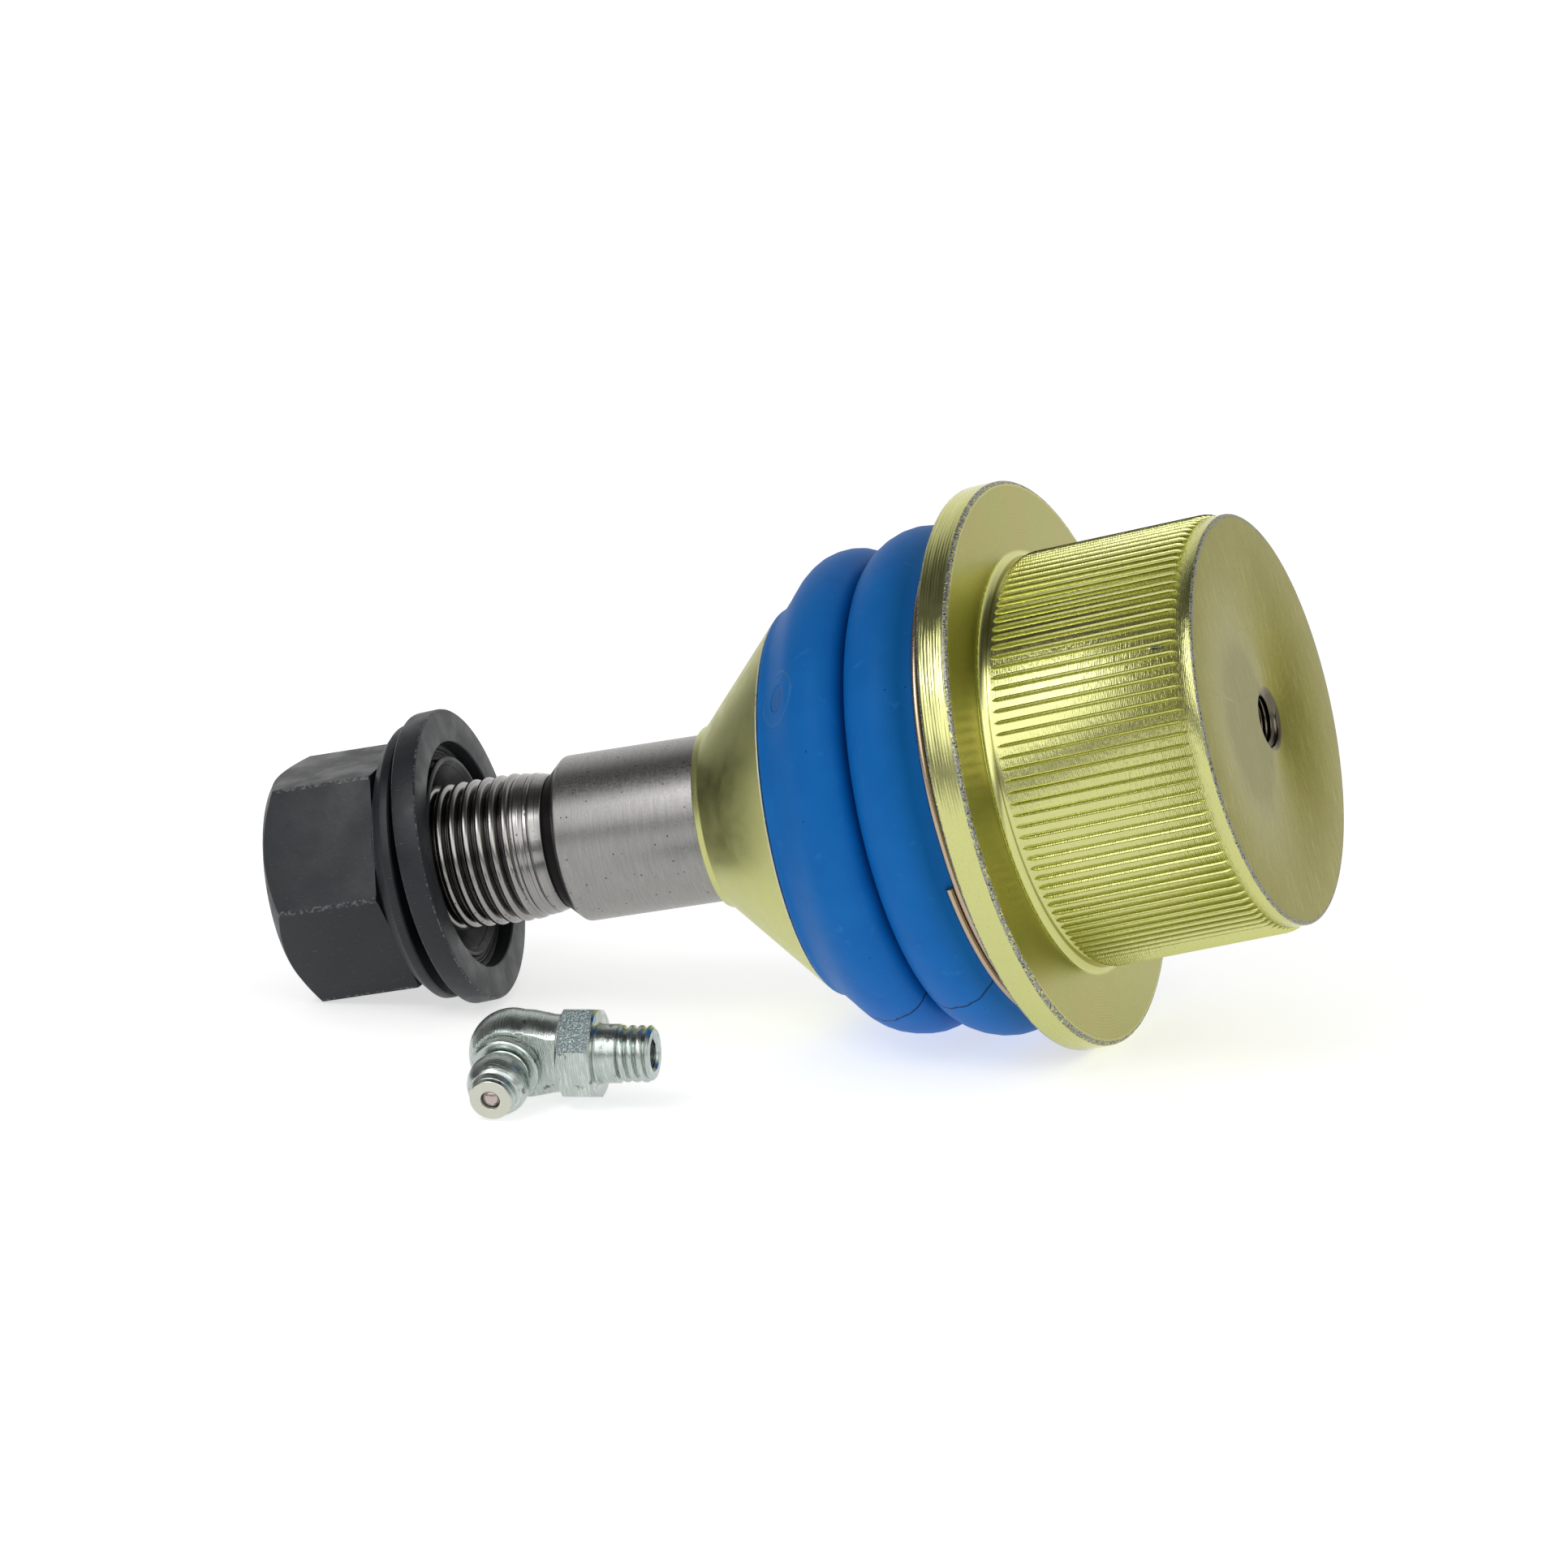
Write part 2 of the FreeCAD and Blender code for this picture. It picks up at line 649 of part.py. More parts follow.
nodes = {
    "ball_stud": placed(ball_stud(), nut_turning),
    "housing": placed(housing(), housing_turning),
    "lower_bearing_cup": placed(lower_bearing_cup(), housing_turning),
    "upper_bearing_ring": placed(upper_bearing_ring(), housing_turning),
    "closing_ring": placed(closing_ring(), housing_turning),
    "spring_washer": placed(spring_washer(), housing_turning),
    "boot_clip_ring": placed(clip_ring(), housing_turning),
    "boot": boot(),
    "boot_neck_ring": placed(neck_ring(), nut_turning),
    "neck_cup": placed(neck_cup(), nut_turning),
    "flange_nut": placed(flange_nut(), nut_turning),
    "captive_washer": placed(captive_washer(), nut_turning),
}
fitting = {
    "fitting_body": placed(fitting_body(), fitting_turning),
    "fitting_head": placed(fitting_head(), head_turning),
    "check_ball": placed(check_ball(), head_turning),
    "check_spring": placed(check_spring(), head_turning),
}

# The fitting stands on the same table as the rims
table = lowest(nodes.values())
fitting_centre = Vector(*fitting_place, table - lowest(fitting.values()))
for name, shape in fitting.items():
    shape.translate(fitting_centre)
    nodes[name] = shape

# Everything is centred over the table's origin
spots = [p for shape in nodes.values() for p in shape.tessellate(0.05)[0]]
middle_x = (min(p.x for p in spots) + max(p.x for p in spots)) / 2
middle_y = (min(p.y for p in spots) + max(p.y for p in spots)) / 2
ball_centre = Vector(-middle_x, -middle_y, -table)

os.makedirs("parts", exist_ok=True)
for name, shape in nodes.items():
    shape.translate(ball_centre)
    shape.exportStep("parts/" + name + ".step")
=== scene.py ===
import json
import math
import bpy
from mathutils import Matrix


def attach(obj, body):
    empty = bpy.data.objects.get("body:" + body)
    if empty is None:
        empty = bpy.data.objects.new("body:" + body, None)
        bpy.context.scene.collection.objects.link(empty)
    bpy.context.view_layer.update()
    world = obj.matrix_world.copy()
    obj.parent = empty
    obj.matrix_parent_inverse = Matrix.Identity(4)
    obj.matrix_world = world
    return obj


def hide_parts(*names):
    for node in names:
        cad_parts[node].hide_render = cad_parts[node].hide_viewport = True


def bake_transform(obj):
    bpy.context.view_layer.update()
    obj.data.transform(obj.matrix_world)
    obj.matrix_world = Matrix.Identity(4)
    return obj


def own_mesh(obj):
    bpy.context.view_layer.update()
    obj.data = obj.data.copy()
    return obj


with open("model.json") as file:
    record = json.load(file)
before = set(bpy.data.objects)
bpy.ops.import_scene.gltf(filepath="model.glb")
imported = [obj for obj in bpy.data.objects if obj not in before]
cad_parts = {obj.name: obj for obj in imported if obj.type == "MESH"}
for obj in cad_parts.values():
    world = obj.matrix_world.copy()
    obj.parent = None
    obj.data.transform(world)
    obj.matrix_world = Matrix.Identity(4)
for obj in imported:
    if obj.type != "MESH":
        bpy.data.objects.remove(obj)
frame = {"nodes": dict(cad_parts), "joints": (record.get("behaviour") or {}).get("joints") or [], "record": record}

from types import SimpleNamespace

import bpy
from bpy.props import FloatProperty, FloatVectorProperty, IntProperty, PointerProperty
from mathutils import Matrix, Vector

bl_info = {
    "name": "Suspension ball joint",
    "version": (1, 0),
    "blender": (4, 5, 0),
    "location": "View3D > Sidebar > Ball joint",
    "description": "Models and finishes the pieces of a suspension ball joint round its frame",
    "category": "Object",
}

MM = 0.001


# Where the joint's axes lie

def turning_frame(origin, axis):
    """A frame whose X runs along the axis, with Y level and Z as near upright as it can be."""
    x = Vector(axis).normalized()
    y = Vector((0, 0, 1)).cross(x).normalized()
    made = Matrix((x, y, x.cross(y))).transposed().to_4x4()
    made.translation = origin
    return made


joints = {joint["name"]: joint for joint in frame["joints"]}
mounts = {mount["name"]: mount for mount in frame["record"]["mounts"]}
BALL = Vector(joints["stud_tilt"]["pos_m"])
TILT_AXIS = Vector(joints["stud_tilt"]["axis"])
STUD = turning_frame(BALL, -Vector(joints["neck_turn"]["axis"]))
HOUSING = turning_frame(BALL, joints["housing_turn"]["axis"])
REST_TILT = STUD.col[0].to_3d().angle(-HOUSING.col[0].to_3d())
TILT = Matrix((HOUSING.col[0].to_3d(), TILT_AXIS.cross(HOUSING.col[0].to_3d()),
               TILT_AXIS)).transposed().to_4x4()
TILT.translation = BALL
HEAD_AXIS = Vector(mounts["nipple_head"]["axis"])
HEAD_LENGTH = 9.9 * MM
ELBOW = Vector(mounts["nipple_head"]["pos_m"]) - HEAD_AXIS * HEAD_LENGTH
HEAD = turning_frame(ELBOW, HEAD_AXIS)
FITTING = turning_frame(ELBOW, mounts["fitting_thread"]["axis"])


# What a user can change, with lengths given in millimetres and angles in degrees

def length_mm(name, description, default):
    return FloatProperty(name=name, description=description, default=default * MM, precision=5,
                         subtype="DISTANCE")


def angle_degrees(name, description, default):
    return FloatProperty(name=name, description=description, default=math.radians(default),
                         subtype="ANGLE")


def colour(name, description, red, green, blue):
    return FloatVectorProperty(name=name, description=description, size=4, min=0.0, max=1.0,
                               default=(red, green, blue, 1.0), subtype="COLOR")


def measures(group):
    """A group's values for modelling, with its lengths in millimetres."""
    values = {}
    for prop in group.bl_rna.properties:
        if prop.identifier not in ("rna_type", "name"):
            value = getattr(group, prop.identifier)
            values[prop.identifier] = round(value / MM, 4) if prop.subtype == "DISTANCE" else value
    return SimpleNamespace(**values)


# Modelling steps that several pieces share

def select_only(piece):
    bpy.ops.object.select_all(action="DESELECT")
    piece.select_set(True)
    bpy.context.view_layer.objects.active = piece


def context_piece(name):
    """The primitive that was just added, under its name."""
    piece = bpy.context.object
    piece.name = piece.data.name = name
    return piece


def arc(centre, radius, first, last, steps=8):
    """Points along an arc of a half section, with its angles in degrees from the X axis."""
    angles = [math.radians(first + (last - first) * k / steps) for k in range(steps + 1)]
    return [(centre[0] + radius * math.cos(a), centre[1] + radius * math.sin(a)) for a in angles]


def rounded(corners, steps=3):
    """A half section's corners as points. A corner's third number is the radius of its rounding."""
    points = []
    for k, corner in enumerate(corners):
        here = Vector(corner[:2])
        if len(corner) == 2:
            points.append(tuple(here))
            continue
        before = (Vector(corners[k - 1][:2]) - here).normalized()
        after = (Vector(corners[(k + 1) % len(corners)][:2]) - here).normalized()
        half = before.angle(after) / 2
        middle = here + (before + after).normalized() * (corner[2] / math.sin(half))
        reach = corner[2] / math.tan(half)
        first, last = here + before * reach - middle, here + after * reach - middle
        points += [tuple(middle + first.lerp(last, n / steps).normalized() * corner[2])
                   for n in range(steps + 1)]
    return points


def half_section(name, points):
    """A line of edges in the XZ plane, extruded point by point. It leaves edit mode on."""
    bpy.ops.object.select_all(action="DESELECT")
    bpy.ops.mesh.primitive_plane_add(size=MM)
    piece = context_piece(name)
    bpy.context.tool_settings.mesh_select_mode = (True, False, False)
    bpy.ops.object.mode_set(mode="EDIT")
    bpy.ops.mesh.select_all(action="SELECT")
    bpy.ops.mesh.merge(type="CENTER")
    last = (0.0, 0.0)
    for k, point in enumerate(points):
        step = ((point[0] - last[0]) * MM, 0.0, (point[1] - last[1]) * MM)
        if k:
            bpy.ops.mesh.extrude_region_move(TRANSFORM_OT_translate={"value": step})
        else:
            bpy.ops.transform.translate(value=step)
        last = point
    bpy.ops.mesh.select_all(action="SELECT")
    return piece


def close_up():
    """Merges seams and poles, turns the faces outwards and leaves edit mode."""
    bpy.ops.mesh.select_all(action="SELECT")
    bpy.ops.mesh.remove_doubles(threshold=0.0005 * MM)
    bpy.ops.mesh.normals_make_consistent(inside=False)
    bpy.ops.object.mode_set(mode="OBJECT")


def turned(name, points, steps=128, loop=False):
    """A half section spun round the X axis. It is a loop, or both its ends lie on the axis."""
    piece = half_section(name, list(points) + ([points[0]] if loop else []))
    bpy.ops.mesh.spin(steps=steps, angle=2 * math.pi, center=(0, 0, 0), axis=(1, 0, 0))
    close_up()
    return piece


def hexagonal(name, flats, start, end, turn):
    """A hexagonal bar along X, with its first corner turned from +Z towards +Y."""
    bpy.ops.object.select_all(action="DESELECT")
    bpy.ops.mesh.primitive_cylinder_add(
        vertices=6, radius=flats / math.sqrt(3) * MM, depth=(end - start) * MM,
        location=((start + end) / 2 * MM, 0, 0), rotation=(0, math.pi / 2, 0))
    piece = context_piece(name)
    bpy.ops.object.transform_apply(location=True, rotation=True, scale=True)
    first = max(piece.data.vertices, key=lambda v: v.co.z).co
    bpy.ops.object.mode_set(mode="EDIT")
    bpy.ops.mesh.select_all(action="SELECT")
    bpy.ops.transform.rotate(
        value=turn - math.atan2(first.y, first.z), orient_axis="X", center_override=(0, 0, 0))
    bpy.ops.object.mode_set(mode="OBJECT")
    return piece


def thread(name, crest, depth, pitch, start, end, steps=72):
    """A screw thread about X with rounded crests and roots, between two planes."""
    root = crest - depth
    rise = [(0.0, 0.0), (0.04, 0.04), (0.09, 0.22), (0.16, 0.52), (0.24, 0.77), (0.33, 0.92),
            (0.42, 0.985), (0.5, 1.0)]
    shape = rise + [(1.0 - share, height) for share, height in rise[-2::-1]]
    turns = math.ceil((end - start) / pitch) + 2
    piece = half_section(name, [((share - 1) * pitch + start, root + depth * height)
                                for share, height in shape])
    bpy.ops.object.mode_set(mode="OBJECT")
    screw = piece.modifiers.new("thread", "SCREW")
    screw.axis, screw.angle, screw.screw_offset = "X", 2 * math.pi, pitch * MM
    screw.iterations, screw.steps, screw.render_steps = turns, steps, steps
    bpy.ops.object.modifier_apply(modifier=screw.name)
    bpy.ops.object.mode_set(mode="EDIT")
    bpy.ops.mesh.select_all(action="SELECT")
    bpy.ops.mesh.remove_doubles(threshold=0.0005 * MM)
    for place, side in ((start, "clear_inner"), (end, "clear_outer")):
        bpy.ops.mesh.select_all(action="SELECT")
        bpy.ops.mesh.bisect(plane_co=(place * MM, 0, 0), plane_no=(1, 0, 0), **{side: True})
    bpy.ops.mesh.select_all(action="SELECT")
    bpy.ops.mesh.fill_holes(sides=0)
    close_up()
    return piece


def wire_coil(name, wire, radius, turns, travel, sides, steps):
    """A coil of round wire about X with flat ends, which starts above the axis at X = 0."""
    bpy.ops.object.select_all(action="DESELECT")
    bpy.ops.mesh.primitive_circle_add(vertices=sides, radius=wire / 2 * MM,
                                      location=(0, 0, radius * MM), rotation=(math.pi / 2, 0, 0))
    piece = context_piece(name)
    bpy.ops.object.transform_apply(location=True, rotation=True, scale=True)
    screw = piece.modifiers.new("turns", "SCREW")
    screw.axis, screw.angle, screw.screw_offset = "X", 2 * math.pi * turns, travel * MM
    screw.steps = screw.render_steps = steps
    bpy.ops.object.modifier_apply(modifier=screw.name)
    bpy.ops.object.mode_set(mode="EDIT")
    bpy.ops.mesh.select_all(action="SELECT")
    bpy.ops.mesh.fill_holes(sides=0)
    close_up()
    return piece


def combine(piece, other, operation):
    """Unites, cuts or keeps the overlap of two pieces, which uses up the second."""
    select_only(piece)
    cut = piece.modifiers.new("combine", "BOOLEAN")
    cut.object, cut.operation, cut.solver = other, operation, "MANIFOLD"
    bpy.ops.object.modifier_apply(modifier=cut.name)
    bpy.data.objects.remove(other)


def soften(piece, width, angle=25.0):
    """A small bevel on the edges that are sharper than the angle."""
    select_only(piece)
    bevel = piece.modifiers.new("edges", "BEVEL")
    bevel.width, bevel.segments = width * MM, 3
    bevel.limit_method, bevel.angle_limit = "ANGLE", math.radians(angle)
    bevel.use_clamp_overlap = True
    bpy.ops.object.modifier_apply(modifier=bevel.name)


def settle(piece, where, body, nodes, paint, sharp=35.0):
    """Puts a finished piece in its place, gives it its finish and joins it to its body. A piece with no body is
    left unjoined."""
    select_only(piece)
    piece.matrix_world = where
    bpy.ops.object.transform_apply(location=True, rotation=True, scale=True)
    bpy.ops.object.shade_smooth_by_angle(angle=math.radians(sharp))
    piece.data.materials.clear()
    piece.data.materials.append(paint)
    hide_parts(*nodes)
    if body:
        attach(piece, body)


# Finishes

class Nodes:
    """Shader nodes that are added and linked by calls."""

    def __init__(self, tree):
        self.tree = tree

    def add(self, kind, inputs, **settings):
        node = self.tree.nodes.new("ShaderNode" + kind)
        for setting, value in settings.items():
            setattr(node, setting, value)
        for key, value in inputs.items():
            self.feed(node.inputs[key], value)
        return node

    def feed(self, socket, value):
        if isinstance(value, bpy.types.NodeSocket):
            self.tree.links.new(value, socket)
        else:
            socket.default_value = value


class Paint(Nodes):
    """A material whose patterns are in millimetres about a piece's axis."""

    def __init__(self, name, where):
        self.material = bpy.data.materials.new(name)
        self.material.use_nodes = True
        super().__init__(self.material.node_tree)
        self.shader = self.tree.nodes["Principled BSDF"]
        inverse = where.inverted()
        coordinates = self.add("TexCoord", {})
        self.facing = coordinates.outputs["Normal"]
        self.place = self.add("Mapping", {
            "Vector": coordinates.outputs["Object"], "Location": inverse.translation / MM,
            "Rotation": inverse.to_euler(), "Scale": (1 / MM,) * 3}).outputs[0]
        self.x, self.y, self.z = self.add("SeparateXYZ", {"Vector": self.place}).outputs
        self.radius = self.math("SQRT", self.math(
            "ADD", self.math("MULTIPLY", self.y, self.y), self.math("MULTIPLY", self.z, self.z)))
        self.normal = None

    def math(self, operation, a, b=0.0):
        return self.add("Math", {0: a, 1: b}, operation=operation).outputs[0]

    def fade(self, value, low, high, to_low=0.0, to_high=1.0):
        """A value's smooth change from one number to another."""
        return self.add("MapRange", {"Value": value, "From Min": low, "From Max": high,
                                     "To Min": to_low, "To Max": to_high},
                        interpolation_type="SMOOTHSTEP").outputs[0]

    def band(self, value, low, high, soft):
        """One between two numbers and nought beyond them, with soft edges."""
        rise = self.fade(value, low - soft, low + soft)
        return self.math("MULTIPLY", rise, self.fade(value, high - soft, high + soft, 1.0, 0.0))

    def mix(self, share, a, b):
        """Goes from a to b, which are colours or numbers."""
        if any(isinstance(v, tuple) or getattr(v, "type", "") == "RGBA" for v in (a, b)):
            return self.add("Mix", {0: share, 6: a, 7: b}, data_type="RGBA").outputs[2]
        return self.add("Mix", {0: share, 2: a, 3: b}, data_type="FLOAT").outputs[0]

    def noise(self, scale, stretch=(1.0, 1.0, 1.0), detail=2.0):
        """Noise about even at 0.5, with its features about 1 / scale millimetres wide."""
        stretched = self.add("VectorMath", {0: self.place, 1: stretch}, operation="MULTIPLY")
        return self.add("TexNoise", {"Vector": stretched.outputs[0], "Scale": scale,
                                     "Detail": detail}).outputs[0]

    def spots(self, scale, size, soft=0.1):
        """Round spots strewn over a piece, one or none in each cell of 1 / scale millimetres."""
        cells = self.add("TexVoronoi", {"Vector": self.place, "Scale": scale})
        chosen = self.add("SeparateXYZ", {"Vector": cells.outputs["Color"]}).outputs[0]
        near = self.fade(cells.outputs["Distance"], size, size + soft, 1.0, 0.0)
        return self.math("MULTIPLY", near, self.fade(chosen, 0.55, 0.75))

    def distance(self, point):
        """How far the surface is from a point about the piece's axis, in millimetres."""
        apart = self.add("VectorMath", {0: self.place, 1: point}, operation="DISTANCE")
        return apart.outputs["Value"]

    def bump(self, height, depth):
        """Raises the surface by a height's share of a depth in millimetres."""
        inputs = {"Height": height, "Distance": depth * MM, "Strength": 1.0}
        if self.normal:
            inputs["Normal"] = self.normal
        self.normal = self.add("Bump", inputs).outputs[0]

    def finish(self, colour, metallic, roughness, **others):
        self.feed(self.shader.inputs["Base Color"], colour)
        self.feed(self.shader.inputs["Metallic"], metallic)
        self.feed(self.shader.inputs["Roughness"], roughness)
        for key, value in others.items():
            self.feed(self.shader.inputs[key.replace("_", " ")], value)
        if self.normal:
            self.feed(self.shader.inputs["Normal"], self.normal)
        return self.material


class FinishColours(bpy.types.PropertyGroup):
    zinc: colour("Yellow zinc", "Darker tone of the housing and cup", 0.53, 0.56, 0.20)
    zinc_light: colour("Yellow zinc, light", "Lighter tone of the housing and cup",
                       0.60, 0.59, 0.26)
    steel: colour("Steel", "Darker tone of the stud", 0.275, 0.267, 0.26)
    steel_light: colour("Steel, light", "Lighter tone of the stud", 0.325, 0.317, 0.308)
    phosphate: colour("Phosphate", "Darker tone of the nut and washer", 0.007, 0.009, 0.012)
    phosphate_light: colour("Phosphate, light", "Lighter tone of the nut and washer",
                            0.017, 0.019, 0.023)
    rubber: colour("Rubber", "Darker tone of the boot", 0.001, 0.113, 0.40)
    rubber_light: colour("Rubber, light", "Lighter tone of the boot", 0.004, 0.148, 0.48)
    silver: colour("Silver zinc", "Darker tone of the grease fitting", 0.36, 0.41, 0.40)
    silver_light: colour("Silver zinc, light", "Lighter tone of the grease fitting",
                         0.50, 0.55, 0.51)


def shades(finish):
    """A finish's darker and lighter tone, as the user has set them."""
    colours = bpy.context.scene.finish_colours
    return tuple(getattr(colours, finish)), tuple(getattr(colours, finish + "_light"))


def rings(paint, value, pitch):
    """Turned rings or lines at a pitch, as heights from nought to one."""
    wave = paint.math("SINE", paint.math("MULTIPLY", value, 2 * math.pi / pitch))
    return paint.math("ADD", paint.math("MULTIPLY", wave, 0.5), 0.5)


def zinc_base(paint):
    """Yellow zinc's colour, roughness and grain, before any wear."""
    cloud = paint.noise(0.10, detail=3.0)
    grain = paint.noise(7.0, detail=4.0)
    base = paint.mix(cloud, *shades("zinc"))
    base = paint.mix(paint.fade(grain, 0.45, 0.8, 0.0, 0.35), base, (0.40, 0.39, 0.17, 1))
    rough = paint.fade(paint.noise(0.5, detail=3.0), 0.3, 0.7, 0.13, 0.2)
    return base, rough, grain


def housing_zinc(where):
    """Yellow zinc over turned steel, with its tool marks and with its edges and end face worn."""
    paint = Paint("housing zinc", where)
    base, rough, grain = zinc_base(paint)
    flange = paint.band(paint.x, 2.6, 6.8, 0.1)
    face = paint.math("MULTIPLY", flange, paint.band(paint.radius, 22.8, 29.9, 0.2))
    rim = paint.math("MULTIPLY", flange, paint.fade(paint.radius, 30.25, 30.35))
    barrel = paint.math("MULTIPLY", paint.fade(paint.x, 7.6, 7.9),
                        paint.fade(paint.radius, 21.7, 21.8))
    end = paint.fade(paint.x, 30.0, 30.15)
    uneven = paint.fade(paint.noise(1.0, (2.2, 0.12, 0.12), 3.0), 0.3, 0.7)
    paint.bump(paint.math("MULTIPLY", rings(paint, paint.radius, 0.33), face), 0.008)
    paint.bump(paint.math("MULTIPLY", rings(paint, paint.x, 0.33), rim), 0.012)
    paint.bump(paint.math("MULTIPLY", uneven, rim), 0.03)
    paint.bump(paint.math("MULTIPLY", rings(paint, paint.x, 0.19), barrel), 0.010)
    across = paint.fade(paint.noise(1.0, (5.0, 1.4, 1.4), 4.0), 0.3, 0.7)
    paint.bump(paint.math("MULTIPLY", across, barrel), 0.013)
    near_port = paint.math("MULTIPLY", end, paint.fade(paint.radius, 4.0, 12.0, 1.0, 0.2))
    paint.bump(paint.math("MULTIPLY", rings(paint, paint.radius, 0.35), near_port), 0.004)

    flat = paint.math("MAXIMUM", end, face)
    dull = paint.mix(paint.noise(0.16, detail=4.0), (0.205, 0.19, 0.035, 1),
                     (0.275, 0.265, 0.065, 1))
    dull = paint.mix(paint.fade(grain, 0.4, 0.75), dull, (0.19, 0.165, 0.04, 1))
    base = paint.mix(paint.math("MULTIPLY", flat, paint.mix(end, 0.6, 1.0)), base, dull)
    specks = paint.math("MULTIPLY", paint.spots(1.6, 0.05), end)
    base = paint.mix(specks, base, (0.10, 0.085, 0.04, 1))
    marks = paint.noise(1.0, (1.0, 3.5, 0.3), 3.0)
    for shade, colour in ((paint.fade(marks, 0.56, 0.72, 0.0, 0.5), (0.40, 0.38, 0.14, 1)),
                          (paint.fade(marks, 0.28, 0.42, 0.45, 0.0), (0.16, 0.14, 0.03, 1))):
        base = paint.mix(paint.math("MULTIPLY", shade, end), base, colour)
    tint = paint.math("MULTIPLY", face, paint.fade(paint.noise(0.12), 0.45, 0.6, 0.0, 0.15))
    base = paint.mix(tint, base, (0.42, 0.28, 0.12, 1))

    wear = paint.noise(3.2, detail=5.0)
    far_edge = paint.math("MULTIPLY", paint.band(paint.x, 6.0, 6.7, 0.05),
                          paint.fade(paint.radius, 29.85, 30.0))
    near_edge = paint.math("MULTIPLY", paint.band(paint.x, 2.9, 3.3, 0.05),
                           paint.fade(paint.radius, 30.0, 30.1))
    end_edge = paint.math("MULTIPLY", paint.fade(paint.x, 29.8, 30.0),
                          paint.fade(paint.radius, 21.3, 21.5))
    edges = paint.math("MAXIMUM", paint.math("MAXIMUM", far_edge, end_edge), near_edge)
    worn = paint.fade(paint.math("ADD", edges, wear), 1.38, 1.5)
    base = paint.mix(worn, base, (0.30, 0.30, 0.28, 1))
    base = paint.mix(paint.fade(paint.math("ADD", edges, paint.noise(5.0)), 1.55, 1.62), base,
                     (0.07, 0.07, 0.06, 1))
    slant = paint.math("ADD", paint.z, paint.math("MULTIPLY", paint.x, 0.12))
    nick = paint.math("MULTIPLY", paint.band(paint.x, 25.5, 27.0, 0.2),
                      paint.band(slant, 15.4, 15.62, 0.06))
    nick = paint.math("MULTIPLY", nick, paint.fade(paint.y, -12.0, -10.0, 1.0, 0.0))
    paint.bump(nick, -0.1)
    base = paint.mix(nick, base, (0.45, 0.46, 0.47, 1))
    # Painted shade: the port's hole is painted dark inside.
    bore = paint.math("MULTIPLY", paint.fade(paint.radius, 3.35, 3.5, 1.0, 0.0),
                      paint.fade(paint.x, 20.0, 21.0))
    base = paint.mix(bore, base, (0.12, 0.105, 0.075, 1))
    rough = paint.mix(flat, rough, 0.29)
    rough = paint.mix(worn, rough, 0.42)
    paint.bump(worn, -0.03)
    paint.bump(grain, 0.004)
    return paint.finish(base, 1.0, rough, Specular_Tint=(0.97, 0.95, 0.82, 1))


def cup_zinc(where):
    """Yellow zinc with fine streaks round the cone and a pale rim, partly rubbed and partly a painted highlight.
    """
    paint = Paint("cup zinc", where)
    base, rough, grain = zinc_base(paint)
    paint.bump(paint.noise(1.0, (9.0, 0.25, 0.25), 3.0), 0.004)
    rim = paint.fade(paint.x, 21.0, 21.12, 1.0, 0.0)
    rim = paint.fade(paint.math("ADD", rim, paint.noise(1.5, detail=4.0)), 1.3, 1.45)
    # The rim's thin pale line is partly wear and partly a painted highlight. It is also made far less metallic.
    base = paint.mix(rim, base, (0.72, 0.74, 0.56, 1))
    paint.bump(grain, 0.004)
    rough = paint.math("ADD", rough, 0.19)
    return paint.finish(base, paint.mix(rim, 1.0, 0.2), rough)


def ground_steel(where):
    """The stud's bright ground shank, rolled thread and dark undercut."""
    paint = Paint("ground steel", where)
    streaks = paint.noise(1.0, (8.0, 0.4, 0.4), 3.0)
    grain = paint.noise(5.0, detail=3.0)
    tone = paint.mix(paint.fade(streaks, 0.3, 0.7), *shades("steel"))
    tone = paint.mix(paint.spots(1.3, 0.09), tone, (0.10, 0.075, 0.06, 1))
    shoulder = paint.band(paint.x, 48.0, 49.75, 0.06)
    tone = paint.mix(shoulder, tone, (0.035, 0.035, 0.037, 1))
    threaded = paint.fade(paint.x, 49.7, 49.9)
    # Painted shade: the thread's roots are painted darker than its crests.
    low = paint.math("MULTIPLY", threaded, paint.fade(paint.radius, 7.12, 7.45, 1.0, 0.0))
    tone = paint.mix(low, tone, (0.13, 0.125, 0.12, 1))
    rough = paint.mix(threaded, paint.fade(grain, 0.3, 0.7, 0.27, 0.40), 0.2)
    rough = paint.mix(shoulder, rough, 0.5)
    plain = paint.math("SUBTRACT", 1.0, threaded)
    paint.bump(paint.math("MULTIPLY", streaks, plain), 0.0018)
    paint.bump(paint.math("MULTIPLY", grain, plain), 0.006)
    return paint.finish(tone, 1.0, rough)


